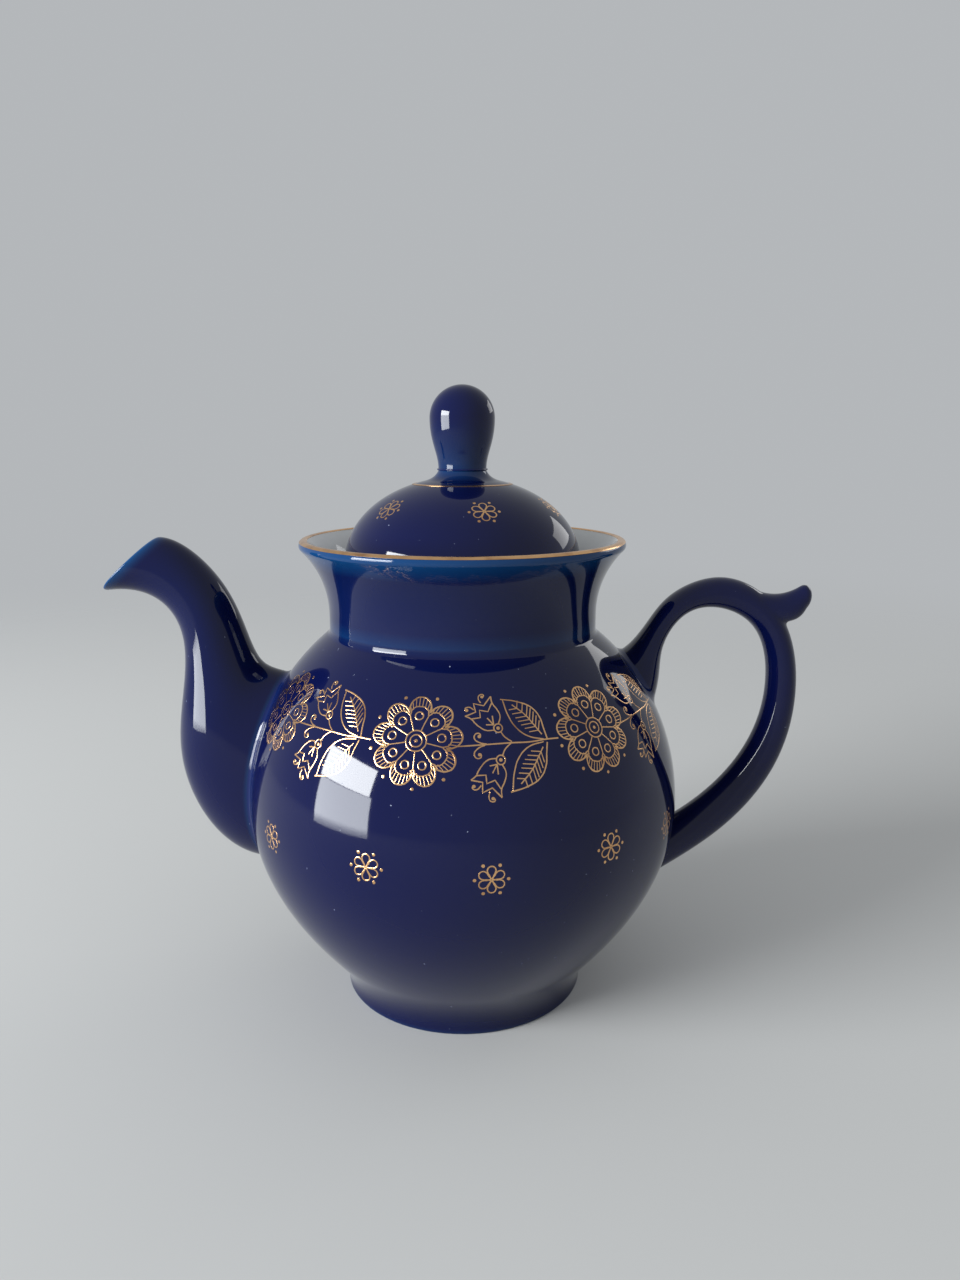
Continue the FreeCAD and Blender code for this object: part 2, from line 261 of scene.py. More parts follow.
def frozen(thing: bpy.types.Object) -> bpy.types.Mesh:
    """Mesh that the modifiers of an object give.

    Args:
        thing: The object, which is used up.

    Returns:
        A mesh of its own.
    """
    graph = bpy.context.evaluated_depsgraph_get()
    mesh = bpy.data.meshes.new_from_object(thing.evaluated_get(graph))
    drop(thing)
    return mesh


def noted(mesh: bpy.types.Mesh, name: str, values: Any) -> None:
    """Writes a number at each point of a mesh under a name."""
    layer = mesh.attributes.new(name, "FLOAT", "POINT")
    layer.data.foreach_set("value", np.asarray(values, np.float32).ravel())


def normed(vectors: np.ndarray) -> np.ndarray:
    """Vectors brought to a length of one."""
    return vectors / np.linalg.norm(vectors, axis=-1, keepdims=True)


def angles(count: int) -> np.ndarray:
    """Equal steps of a full turn, in radians."""
    return np.linspace(0.0, 2 * math.pi, count, endpoint=False)


def smooth(piece: bpy.types.Object, crease: float = 35.0) -> bpy.types.Object:
    """Shades a piece smooth, with hard edges only where its faces turn sharply.

    Args:
        piece: Mesh object to shade.
        crease: Angle above which an edge stays hard.

    Returns:
        The same object.
    """
    form = bmesh.new()
    form.from_mesh(piece.data)
    bmesh.ops.recalc_face_normals(form, faces=form.faces)
    form.to_mesh(piece.data)
    form.free()
    piece.data.shade_smooth()
    piece.data.set_sharp_from_angle(angle=math.radians(crease))
    return piece


def settle(
    piece: bpy.types.Object, body: Body, replaced: tuple[str, ...] = ()
) -> bpy.types.Object:
    """Ties a finished piece to its body and hides the CAD nodes that it stands for.

    Args:
        piece: Finished mesh object.
        body: Body that carries it.
        replaced: CAD nodes that aren't shown any more.

    Returns:
        The same object.
    """
    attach(piece, body.value)
    if replaced:
        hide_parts(*replaced)
    LOG.info("%s: %d faces on %s", piece.name, len(piece.data.polygons), body.value)
    return piece


def begun(name: str) -> tuple[bpy.types.Material, Nodes, bpy.types.Node]:
    """Starts a material.

    Args:
        name: Name of the material.

    Returns:
        The material, its nodes and its shader.
    """
    made = bpy.data.materials.new(name)
    made.use_nodes = True
    return made, Nodes(made.node_tree), made.node_tree.nodes["Principled BSDF"]


@dataclass(frozen=True)
class Glaze:
    """A glossy fired glaze: deep where it lies thick, paler where it runs thin over an edge."""

    name: str
    deep: Colour
    thin: Colour
    roughness: float = 0.05
    ior: float = 1.39
    ripple: float = 0.03
    ripple_size: float = 22.0
    ripple_depth: float = 1.0
    cloud_size: float = 9.0
    cloud_share: float = 0.12
    dust: Colour = (0.32, 0.36, 0.5)
    dust_size: float = 520.0
    dust_from: float = 0.76
    dust_full: float = 0.84
    dust_dullness: float = 0.5

    def material(self) -> bpy.types.Material:
        """Builds the glaze: colour by thickness, faint ripples and a little dust.

        Returns:
            The material.
        """
        made, nodes, skin = begun(self.name)
        place = nodes.place()
        edge = nodes.add("ShaderNodeAttribute", attribute_name="thin").outputs["Fac"]
        cloud = nodes.math("SUBTRACT", nodes.noise(place, self.cloud_size), 0.5)
        drift = nodes.math("MULTIPLY", cloud, self.cloud_share)
        thinness = nodes.add("ShaderNodeClamp", {"Value": nodes.math("ADD", edge, drift)}).outputs[0]
        tint = nodes.blend(thinness, self.deep, self.thin)
        speck = nodes.ramp(nodes.noise(place, self.dust_size), self.dust_from, self.dust_full)
        dull = nodes.math("ADD", nodes.math("MULTIPLY", speck, self.dust_dullness), self.roughness)
        wave = nodes.noise(place, self.ripple_size)
        ripple = {"Strength": self.ripple, "Distance": self.ripple_depth * MM, "Height": wave}
        nodes.link(nodes.blend(speck, tint, self.dust), skin.inputs["Base Color"])
        nodes.link(dull, skin.inputs["Roughness"])
        nodes.link(nodes.add("ShaderNodeBump", ripple).outputs[0], skin.inputs["Normal"])
        skin.inputs["IOR"].default_value = self.ior
        return made


@dataclass(frozen=True)
class Gilding:
    """Fired liquid gold, warm and a little worn."""

    name: str = "fired_gold"
    bright: Colour = (0.81, 0.48, 0.23)
    worn: Colour = (0.47, 0.24, 0.11)
    roughness: float = 0.22
    wear_size: float = 90.0
    wear_detail: float = 3.0
    wear_from: float = 0.5
    wear_full: float = 0.75

    def material(self) -> bpy.types.Material:
        """Builds the gold, darker in patches where it has worn.

        Returns:
            The material.
        """
        made, nodes, skin = begun(self.name)
        patch = nodes.noise(nodes.place(), self.wear_size, self.wear_detail)
        wear = nodes.ramp(patch, self.wear_from, self.wear_full)
        nodes.link(nodes.blend(wear, self.bright, self.worn), skin.inputs["Base Color"])
        skin.inputs["Metallic"].default_value = 1.0
        skin.inputs["Roughness"].default_value = self.roughness
        return made


@dataclass(frozen=True)
class Matt:
    """A plain dull finish, such as bare fired clay."""

    name: str
    colour: Colour
    roughness: float = 0.8
    mottle: float = 0.97
    mottle_size: float = 60.0

    def material(self) -> bpy.types.Material:
        """Builds the finish with a faint mottle.

        Returns:
            The material.
        """
        made, nodes, skin = begun(self.name)
        darker = tuple(self.mottle * part for part in self.colour)
        tint = nodes.blend(nodes.noise(nodes.place(), self.mottle_size), self.colour, darker)
        nodes.link(tint, skin.inputs["Base Color"])
        skin.inputs["Roughness"].default_value = self.roughness
        return made


@dataclass
class Finishes:
    """Every finish of the pot, built once."""

    cobalt: bpy.types.Material = field(init=False)
    seam: bpy.types.Material = field(init=False)
    white: bpy.types.Material = field(init=False)
    clay: bpy.types.Material = field(init=False)
    gold: bpy.types.Material = field(init=False)

    def __post_init__(self) -> None:
        """Builds the materials."""
        thin = (0.004, 0.054, 0.165)
        self.cobalt = Glaze("cobalt_glaze", (0.0016, 0.0035, 0.036), thin).material()
        self.seam = Glaze("thin_cobalt_glaze", (0.0025, 0.009, 0.06), thin).material()
        milk, thin_milk, old_dust = (0.74, 0.75, 0.74), (0.66, 0.68, 0.7), (0.6, 0.58, 0.52)
        self.white = Glaze("white_glaze", milk, thin_milk, dust=old_dust).material()
        self.clay = Matt("bare_clay", (0.7, 0.68, 0.64)).material()
        self.gold = Gilding().material()


def arc(centre: Point, radius: float, start: float, end: float, count: int) -> list[Point]:
    """Points of an arc in a half section.

    Args:
        centre: Its middle, as distance from the axis and height.
        radius: Its radius.
        start: First angle in radians, from the outward direction upwards.
        end: Last angle.
        count: Number of points.

    Returns:
        The points from start to end.
    """
    turns = np.linspace(start, end, count)
    return [(centre[0] + radius * math.cos(a), centre[1] + radius * math.sin(a)) for a in turns]


def bezier(poles: list[Point], count: int) -> list[Point]:
    """Points of a smooth curve pulled by its poles, from the first pole to the last.

    Args:
        poles: The poles, as distance from the axis and height.
        count: Number of points.

    Returns:
        The points of the curve.
    """
    degree = len(poles) - 1
    spots = []
    for t in np.linspace(0.0, 1.0, count):
        weights = [math.comb(degree, k) * t**k * (1 - t) ** (degree - k) for k in range(degree + 1)]
        spots.append(tuple(sum(w * p[axis] for w, p in zip(weights, poles)) for axis in (0, 1)))
    return spots


def eased(before: Point, corner: Point, after: Point, radius: float, count: int = 6) -> list[Point]:
    """Points that take a corner of a half section off with a small round.

    Args:
        before: A point on the side that comes in.
        corner: The sharp corner.
        after: A point on the side that goes out.
        radius: How far from the corner the round begins.
        count: Number of points.

    Returns:
        The points of the round.
    """
    spots = []
    for other in (before, after):
        away = np.subtract(other, corner)
        spots.append(tuple(corner + away * radius / np.hypot(*away)))
    return bezier([spots[0], corner, spots[1]], count)


@dataclass
class Profile:
    """Half section of a turned form, from axis to axis or round a closed ring."""

    points: list[Point] = field(default_factory=list)
    thin: list[float] = field(default_factory=list)
    zones: dict[str, int] = field(default_factory=dict)

    def run(self, points: list[Point], thin: Point = (0.0, 0.0)) -> None:
        """Adds a stretch.

        Args:
            points: The points of the stretch.
            thin: The thinness of the glaze at its start and at its end.
        """
        for index, spot in enumerate(points):
            share = index / max(1, len(points) - 1)
            if self.points and math.dist(spot, self.points[-1]) < SAME_POINT:
                continue
            self.points.append((float(spot[0]), float(spot[1])))
            self.thin.append(thin[0] + (thin[1] - thin[0]) * share)

    def line(self, end: Point, step: float = 2.0, thin: Point = (0.0, 0.0)) -> None:
        """Adds a straight stretch.

        Args:
            end: The point that it leads to.
            step: Length of its steps, about.
            thin: The thinness of the glaze at its start and at its end.
        """
        start = self.points[-1]
        count = 2 + int(math.dist(start, end) / step)
        shares = np.linspace(0.0, 1.0, count)
        self.run([tuple(np.add(start, np.subtract(end, start) * s)) for s in shares], thin)

    def mark(self, name: str) -> None:
        """Notes that a new finish starts at the last point."""
        self.zones[name] = len(self.points) - 1

    def wire(self, name: str) -> bpy.types.Object:
        """Makes the profile a row of vertices that carry their glaze thinness.

        Args:
            name: Name of the object.

        Returns:
            The row of vertices.
        """
        mesh = bpy.data.meshes.new(name)
        mesh.from_pydata([(r * MM, 0.0, z * MM) for r, z in self.points], [], [])
        noted(mesh, "thin", self.thin)
        return linked(name, mesh)


class Wheel:
    """Turns half sections into closed round forms, as on a potter's wheel."""

    SEGMENTS = 256
    TOUCH = 0.001
    FAR = 1_000_000

    def __init__(self) -> None:
        """Builds the turning tree."""
        labels = {
            "Object": ("Profile",),
            "Int": ("Rows", "Segments"),
            "Material": ("Outside", "Inside", "Bare"),
            "Float": ("Inside From", "Inside To", "Bare From", "Bare To"),
        }
        tree = FormTree("turned_form", labels)
        given = tree.given
        columns = tree.math("ADD", given["Segments"], 1)
        grid = tree.add("GeometryNodeMeshGrid", {"Vertices X": columns, "Vertices Y": given["Rows"]})
        index = tree.index()
        row = tree.math("FLOORED_MODULO", index, given["Rows"])
        column = tree.math("FLOOR", tree.math("DIVIDE", tree.math("ADD", index, 0.5), given["Rows"]))
        share = tree.math("DIVIDE", column, given["Segments"])
        angle = tree.math("MULTIPLY", share, 2 * math.pi)
        half_section = tree.shape_of("Profile")
        spot = self._sample(tree, half_section, tree.position(), row, "FLOAT_VECTOR")
        edge = self._sample(tree, half_section, tree.named("thin"), row, "FLOAT")
        parts = tree.add("ShaderNodeSeparateXYZ", {0: spot}).outputs
        x = tree.math("MULTIPLY", parts["X"], tree.math("COSINE", angle))
        y = tree.math("MULTIPLY", parts["X"], tree.math("SINE", angle))
        geometry = tree.stored(grid.outputs["Mesh"], "row", row)
        geometry = tree.stored(geometry, "thin", edge)
        geometry = tree.moved(geometry, tree.xyz(x, y, parts["Z"]))
        seam = {"Geometry": geometry, "Distance": self.TOUCH * MM}
        geometry = tree.realized(tree.add("GeometryNodeMergeByDistance", seam).outputs[0])
        geometry = tree.dressed(geometry, given["Outside"])
        for zone in ("Inside", "Bare"):
            here = tree.named("row")
            past = tree.math("GREATER_THAN", here, given[zone + " From"])
            short = tree.math("LESS_THAN", here, given[zone + " To"])
            geometry = tree.dressed(geometry, given[zone], tree.math("MULTIPLY", past, short))
        tree.finish(geometry)
        self.tree = tree

    @staticmethod
    def _sample(
        tree: FormTree, source: Any, value: Any, index: Any, kind: str
    ) -> bpy.types.NodeSocket:
        """Reads a value at one point of another form.

        Args:
            tree: Tree to add to.
            source: Geometry that is read.
            value: What is read from it.
            index: Which of its points.
            kind: Type of the value.

        Returns:
            The value that was read.
        """
        node = tree.add("GeometryNodeSampleIndex", data_type=kind, domain="POINT")
        for key, item in (("Geometry", source), ("Value", value), ("Index", index)):
            tree.link(item, node.inputs[key])
        return node.outputs[0]

    def turn(
        self,
        name: str,
        profile: Profile,
        outside: bpy.types.Material,
        inside: bpy.types.Material | None = None,
        bare: bpy.types.Material | None = None,
    ) -> bpy.types.Object:
        """Turns a profile.

        Args:
            name: Name of the piece.
            profile: Its half section, with zones inside, inside_end, bare and bare_end where it has them.
            outside: Finish of all faces without a zone.
            inside: Finish of the zone inside.
            bare: Finish of the zone bare.

        Returns:
            The turned piece.
        """
        wire = profile.wire(name + "_section")
        values = {"Profile": wire, "Rows": len(profile.points), "Segments": self.SEGMENTS, "Outside": outside}
        for zone, finish in (("Inside", inside), ("Bare", bare)):
            start = zone.lower()
            values[zone] = finish or outside
            values[zone + " From"] = float(profile.zones.get(start, self.FAR))
            values[zone + " To"] = float(profile.zones.get(start + "_end", self.FAR))
        piece = self.tree.bake(name, values)
        drop(wire)
        return smooth(piece)


@dataclass(frozen=True)
class Belly:
    """Outer face of the belly, which the spout and the handle are fitted to."""

    radius: float = 85.0
    height: float = 80.0
    pull: float = 32.7
    foot_radius: float = 48.5
    foot_height: float = 9.0
    haunch_pull: float = 16.2
    haunch_slope: float = 40.0

    def haunch(self, grow: float, count: int = 90) -> list[Point]:
        """Lower belly from the widest line down to the foot.

        Args:
            grow: How far outside the belly it lies.
            count: Number of points.

        Returns:
            The points from the top down.
        """
        slope = math.radians(self.haunch_slope)
        corner = (
            self.foot_radius + grow * math.cos(slope),
            self.foot_height - grow * math.sin(slope),
        )
        pulled = (
            corner[0] + self.haunch_pull * math.sin(slope),
            corner[1] + self.haunch_pull * math.cos(slope),
        )
        widest = (self.radius + grow, self.height)
        return bezier([widest, (widest[0], self.height - self.pull), pulled, corner], count)

    def shoulder(self, grow: float, radius: float, count: int = 90) -> list[Point]:
        """Upper belly from the widest line up to a smaller radius, moved outwards by grow."""
        sphere = self.radius + grow
        return arc((0.0, self.height), sphere, 0.0, math.acos(radius / sphere), count)

    def radius_at(self, height: np.ndarray) -> np.ndarray:
        """Outer radius at heights above the floor.

        Args:
            height: The heights.

        Returns:
            A radius for each height.
        """
        lower = self.haunch(0.0)[::-1]
        below = np.interp(height, [z for _, z in lower], [r for r, _ in lower])
        rise = np.clip(height - self.height, 0.0, self.radius)
        return np.where(height < self.height, below, np.sqrt(self.radius**2 - rise**2))

    def gap(self, points: np.ndarray) -> np.ndarray:
        """How far points lie outside the belly.

        Args:
            points: The points.

        Returns:
            A distance for each point, less than 0 inside.
        """
        across = np.hypot(points[..., 0], points[..., 1])
        above = points[..., 2] - self.height
        below = across - self.radius_at(points[..., 2])
        return np.where(above < 0, below, np.hypot(across, above) - self.radius)

    def onto(self, points: np.ndarray, proud: float = 0.0, passes: int = 4) -> np.ndarray:
        """Moves points to the face of the belly.

        Args:
            points: The points.
            proud: How far outside the face they end.
            passes: How often they are moved, each time closer.

        Returns:
            The moved points.
        """
        centre = np.array([0.0, 0.0, self.height])
        moved = points.copy()
        for _ in range(passes):
            away = normed(moved - centre)
            moved = moved - away * (self.gap(moved) - proud)[..., None]
        return moved


@dataclass
class Vessel:
    """Body of the pot: foot, belly, neck, flared collar, lid ledge, strainer and gilded lip."""

    belly: Belly
    wheel: Wheel
    finishes: Finishes
    wall: float = 4.0
    foot_ring: float = 6.0
    foot_recess: float = 4.0
    recess_edge: float = 0.6
    recess_margin: float = 1.0
    foot_edge: float = 1.0
    foot_cove: float = 7.0
    foot_sweep: float = 14.0
    neck_radius: float = 52.0
    neck_length: float = 7.5
    neck_cove: float = 1.8
    neck_drop: float = 1.0
    flare_height: float = 25.0
    flare_width: float = 10.2
    seat_rise: float = 8.0
    ledge_width: float = 6.0
    ledge_thickness: float = 4.0
    ledge_edge: float = 0.8
    hole: float = 6.0
    hole_pitch: float = 11.0
    hole_rise: float = 11.0
    ring_holes: int = 6
    hole_sides: int = 40
    gilt: float = 0.15
    gilt_from: float = 35.0
    gilt_to: float = 125.0
    thin_foot: Point = (0.4, 0.1)
    thin_crease: Point = (0.0, 0.1)
    thin_neck: Point = (0.3, 0.05)
    thin_lip: float = 0.6
    thin_lip_from: float = 0.72
    floor_edge: float = 5.0
    floor_rings: tuple[float, ...] = (30.0, 20.0, 10.0, 0.0)

    @property
    def neck_root(self) -> float:
        """Height at which the neck leaves the belly."""
        return self.belly.height + math.sqrt(self.belly.radius**2 - self.neck_radius**2)

    @property
    def flare_start(self) -> float:
        """Height at which the neck begins to flare."""
        return self.neck_root + self.neck_length

    @property
    def flare_radius(self) -> float:
        """Radius of the sweep of the collar."""
        return (self.flare_height**2 + self.flare_width**2) / (2 * self.flare_width)

    @property
    def flare_turn(self) -> float:
        """Angle of the sweep of the collar, in radians."""
        return math.asin(self.flare_height / self.flare_radius)

    @property
    def seat(self) -> float:
        """Height of the ledge that carries the lid."""
        return self.flare_start + self.seat_rise

    @property
    def seat_wall(self) -> float:
        """Inner radius of the collar at the ledge."""
        sweep = self.flare_radius + self.wall
        return self.neck_radius + self.flare_radius - math.sqrt(sweep**2 - self.seat_rise**2)

    @property
    def lip_centre(self) -> Point:
        """Middle of the rounded lip.

        Returns:
            Its distance from the axis and its height.
        """
        sweep = self.flare_radius + self.wall / 2
        angle = math.pi - self.flare_turn
        return (
            self.neck_radius + self.flare_radius + sweep * math.cos(angle),
            self.flare_start + sweep * math.sin(angle),
        )

    def flare(self, offset: float, start: float, end: float, count: int) -> list[Point]:
        """Collar wall between two angles of its sweep; offset is measured inwards."""
        centre = (self.neck_radius + self.flare_radius, self.flare_start)
        return arc(centre, self.flare_radius + offset, math.pi - start, math.pi - end, count)

    def section(self) -> Profile:
        """Half section from the middle of the underside, up outside, over the lip and down inside.

        Returns:
            The half section, with its zones of finish.
        """
        form = Profile()
        foot = self.belly.foot_radius
        ring = foot - self.foot_ring
        form.run([(0.0, self.foot_recess)])
        form.line((ring - self.recess_margin, self.foot_recess), 8.0)
        form.run(eased((0.0, self.foot_recess), (ring, self.foot_recess), (ring, 0.0), self.recess_edge))
        form.run(eased((ring, self.foot_recess), (ring, 0.0), (foot, 0.0), self.foot_edge))
        form.mark("bare")
        rounded = eased((ring, 0.0), (foot, 0.0), (foot, self.belly.foot_height), self.foot_edge)
        form.run(rounded[:2])
        form.mark("bare_end")
        form.run(rounded[2:], self.thin_foot)
        lower = self.belly.haunch(0.0, 72)[::-1]
        clear = next(i for i, spot in enumerate(lower) if math.dist(spot, lower[0]) > self.foot_sweep)
        start = (foot, self.belly.foot_height - self.foot_cove)
        form.line(start, 0.5, (self.thin_foot[1], 0.0))
        form.run(bezier([start, lower[0], lower[clear]], 16))
        form.run(lower[clear:])
        upper = self.belly.shoulder(0.0, self.neck_radius, 60)
        clear = next(i for i, spot in enumerate(upper) if math.dist(spot, upper[-1]) < self.neck_cove)
        form.run(upper[:clear])
        crease = (self.neck_radius, self.neck_root + self.neck_cove)
        form.run(bezier([upper[clear], upper[-1], crease], 10), self.thin_crease)
        form.line((self.neck_radius, self.flare_start), 1.0, self.thin_neck)
        turn, even = self.flare_turn, self.thin_neck[1]
        paler = turn * self.thin_lip_from
        form.run(self.flare(0.0, 0.0, paler, 18), (even, even))
        form.run(self.flare(0.0, paler, turn, 12), (even, self.thin_lip))
        gold = math.radians(self.gilt_from), math.radians(self.gilt_to)
        form.run(arc(self.lip_centre, self.wall / 2, -turn, gold[0], 10), (self.thin_lip, self.thin_lip))
        form.run(arc(self.lip_centre, self.wall / 2, *gold, 14), (self.thin_lip, 0.0))
        form.mark("inside")
        form.run(arc(self.lip_centre, self.wall / 2, gold[1], math.pi - turn, 6))
        form.run(self.inner_wall())
        form.zones["inside_end"] = len(form.points)
        return form

    def inner_wall(self) -> list[Point]:
        """Inner face from the lip down over the ledge to the middle of the floor.

        Returns:
            The points of the face.
        """
        seat_turn = math.asin(self.seat_rise / (self.flare_radius + self.wall))
        bore = self.neck_radius - self.wall
        ledge = bore - self.ledge_width
        under = self.seat - self.ledge_thickness
        collar = self.flare(self.wall, self.flare_turn, seat_turn, 20)
        corners = [
            collar[-2],
            (self.seat_wall, self.seat),
            (ledge, self.seat),
            (ledge, under),
            (bore, under - self.ledge_width),
            (bore, self.neck_root - self.wall - self.neck_drop),
        ]
        spots = collar[:-1]
        for before, corner, after in zip(corners, corners[1:], corners[2:]):
            spots += eased(before, corner, after, self.ledge_edge)
        upper = self.belly.shoulder(-self.wall, bore, 40)[::-1]
        lower = self.belly.haunch(-self.wall, 48)
        floor = lower[-1][1]
        spots += upper + lower[:-3] + eased(lower[-3], lower[-1], (0.0, floor), self.floor_edge, 10)
        return spots + [(radius, floor) for radius in self.floor_rings]

    def build(self) -> list[bpy.types.Object]:
        """Makes the glazed body and the gilded lip.

        Returns:
            The body first, and then the gilding.
        """
        turned = self.wheel.turn(
            "vessel_wall", self.section(), self.finishes.cobalt, self.finishes.white, self.finishes.clay
        )
        body = self.pierce(turned)
        drop(turned)
        settle(smooth(body), Body.POT, ("vessel",))
        return [body, self.gilded_lip()]

    def pierce(self, wall: bpy.types.Object) -> bpy.types.Object:
        """Cuts the strainer holes behind the spout: one in the middle and a ring round it.

        Args:
            wall: The turned body.

        Returns:
            A new object with the holes.
        """
        labels = {
            "Object": ("Wall",),
            "Int": ("Holes",),
            "Float": ("Pitch", "Radius", "Depth"),
            "Vector": ("Centre",),
            "Material": ("Glaze",),
        }
        tree = FormTree("strainer", labels)
        given = tree.given
        index = tree.index()
        angle = tree.math("MULTIPLY", tree.math("DIVIDE", index, given["Holes"]), 2 * math.pi)
        ringed = tree.math("LESS_THAN", index, given["Holes"])
        reach = tree.math("MULTIPLY", given["Pitch"], ringed)
        across = tree.math("MULTIPLY", reach, tree.math("SINE", angle))
        up = tree.math("MULTIPLY", reach, tree.math("COSINE", angle))
        spot = tree.vector("ADD", given["Centre"], tree.xyz(0.0, across, up))
        count = tree.math("ADD", given["Holes"], 1)
        spots = tree.add("GeometryNodePoints", {"Count": count, "Position": spot}).outputs[0]
        size = {"Vertices": self.hole_sides, "Radius": given["Radius"], "Depth": given["Depth"]}
        rod = tree.add("GeometryNodeMeshCylinder", size).outputs["Mesh"]
        rods = tree.realized(tree.copies(spots, rod, Rotation=tree.turn(0.0, math.pi / 2, 0.0)))
        cut = tree.add(
            "GeometryNodeMeshBoolean",
            {"Mesh 1": tree.shape_of("Wall"), "Mesh 2": tree.dressed(rods, given["Glaze"])},
            operation="DIFFERENCE",
            solver="EXACT",
        )
        tree.finish(cut.outputs["Mesh"])
        depth = self.belly.radius / 2
        return tree.bake(
            "vessel_glazed",
            {
                "Wall": wall,
                "Holes": self.ring_holes,
                "Pitch": self.hole_pitch * MM,
                "Radius": self.hole / 2 * MM,
                "Depth": depth * MM,
                "Centre": (-self.belly.radius * MM, 0.0, (self.belly.height + self.hole_rise) * MM),
                "Glaze": self.finishes.white,
            },
        )

    def gilded_lip(self) -> bpy.types.Object:
        """Fired gold over the top of the rounded lip.

        Returns:
            The gold as a piece.
        """
        gold = math.radians(self.gilt_from), math.radians(self.gilt_to)
        form = Profile()
        form.run(arc(self.lip_centre, self.wall / 2 + self.gilt, *gold, 24))
        form.run(arc(self.lip_centre, self.wall / 2 - self.gilt, *gold[::-1], 24))
        form.run([form.points[0]])
        band = self.wheel.turn("lip_gold", form, self.finishes.gold)
        return settle(band, Body.POT, ("rim_gilding",))


@dataclass
class Lid:
    """Domed lid with brim and skirt, its pear-shaped knob, the seam between them and a gold line."""

    vessel: Vessel
    wheel: Wheel
    finishes: Finishes
    wall: float = 4.0
    play: float = 1.2
    skirt_play: float = 0.8
    skirt_depth: float = 11.0
    brim_thickness: float = 3.5
    brim_step: float = 2.2
    brim_edge: float = 1.2
    brim_root: float = 0.8
    skirt_edge: float = 1.4
    dome_spring: float = 11.8
    dome_rise: float = 32.0
    crown_radius: float = 14.5
    boss_rise: float = 2.2
    boss_cove: float = 0.75
    knob_base: float = 9.2
    knob_radius: float = 12.4
    knob_height: float = 31.0
    knob_pull: float = 9.0
    waist_pull: float = 5.5
    seam: float = 0.8
    bead: float = 0.7
    line_radius: float = 18.8
    line_width: float = 0.9
    gilt: float = 0.12
    thin_boss: Point = (0.0, 0.35)
    thin_knob: Point = (0.25, 0.0)

    @property
    def dome_radius(self) -> float:
        """Radius of the dome at its foot."""
        return self.vessel.seat_wall - self.play - self.brim_step

    @property
    def dome_base(self) -> float:
        """Height at which the dome begins to curve in."""
        return self.vessel.seat + self.dome_spring

    @property
    def boss_top(self) -> float:
        """Height of the seat of the knob."""
        return self.dome_base + self.dome_rise + self.boss_rise

    def oval(self, radius: float, rise: float, base: float, end: float, count: int) -> list[Point]:
        """Stretch of a quarter oval from its widest line up to a smaller radius."""
        turns = np.linspace(0.0, math.acos(end / radius), count)
        return [(radius * math.cos(a), base + rise * math.sin(a)) for a in turns]

    def dome_at(self, radius: float) -> tuple[Point, float]:
        """Finds the dome at a radius.

        Args:
            radius: Distance from the axis.

        Returns:
            The point, and the lean of its outward direction above level.
        """
        turn = math.acos(radius / self.dome_radius)
        spot = (radius, self.dome_base + self.dome_rise * math.sin(turn))
        return spot, math.atan2(self.dome_radius * math.sin(turn), self.dome_rise * math.cos(turn))

    def section(self) -> Profile:
        """Half section from the crown inside, down the skirt and up over the dome.

        Returns:
            The half section, with its zone inside.
        """
        seat = self.vessel.seat
        skirt = self.vessel.neck_radius - self.vessel.wall - self.vessel.ledge_width - self.skirt_play
        bore = skirt - self.wall
        brim = self.vessel.seat_wall - self.play
        brim_top = seat + self.brim_thickness
        low = seat - self.skirt_depth
        crown_rise = self.dome_rise + self.dome_spring - self.wall
        form = Profile()
        form.run(self.oval(bore, crown_rise, seat, 0.0, 80)[::-1])
        corners = [
            (bore, seat),
            (bore, low),
            (skirt, low),
            (skirt, seat),
            (brim, seat),
            (brim, brim_top),
            (self.dome_radius, brim_top),
            (self.dome_radius, self.dome_base),
        ]
        rounds = [self.skirt_edge] * 2 + [self.brim_root, self.brim_edge, self.brim_edge, self.brim_root]
        for place, radius in enumerate(rounds):
            form.run(eased(*corners[place : place + 3], radius))
            if place == 3:
                form.zones["inside_end"] = len(form.points) - 1
        form.zones["inside"] = -1
        form.line(corners[-1], 1.5)
        form.run(self.oval(self.dome_radius, self.dome_rise, self.dome_base, self.crown_radius, 110))
        form.run(self.boss(form.points[-2], form.points[-1]), self.thin_boss)
        form.run([(0.0, self.boss_top)])
        return form

    def boss(self, before: Point, start: Point) -> list[Point]:
        """Cove from the dome up to the seat of the knob.

        Args:
            before: Last point of the dome but one.
            start: Last point of the dome.

        Returns:
            The points of the cove.
        """
        slope = np.subtract(start, before)
        run = (start[0] - self.knob_base) * self.boss_cove
        pulled = tuple(np.add(start, slope * run / abs(slope[0])))
        return bezier([start, pulled, (self.knob_base, self.boss_top)], 20)

    def build(self) -> list[bpy.types.Object]:
        """Makes the lid, its knob, the seam and the gold line.

        Returns:
            The lid first.
        """
        shell = self.wheel.turn("lid_glazed", self.section(), self.finishes.cobalt, self.finishes.white)
        settle(shell, Body.LID, ("lid",))
        return [shell, self.knob(), self.knob_seam(), self.gold_line()]

    def knob(self) -> bpy.types.Object:
        """Pear-shaped knob with a waist above the lid.

        Returns:
            The knob as a piece.
        """
        base = self.boss_top + self.seam
        widest = base + self.knob_height - self.knob_radius
        poles = [
            (self.knob_base, base),
            (self.knob_base, base + self.waist_pull),
            (self.knob_radius, widest - self.knob_pull),
            (self.knob_radius, widest),
        ]
        form = Profile()
        form.run([(0.0, base)])
        form.run(bezier(poles, 60), self.thin_knob)
        form.run(arc((0.0, widest), self.knob_radius, 0.0, math.pi / 2, 50))
        piece = self.wheel.turn("knob_glazed", form, self.finishes.cobalt)
        return settle(piece, Body.LID, ("knob",))

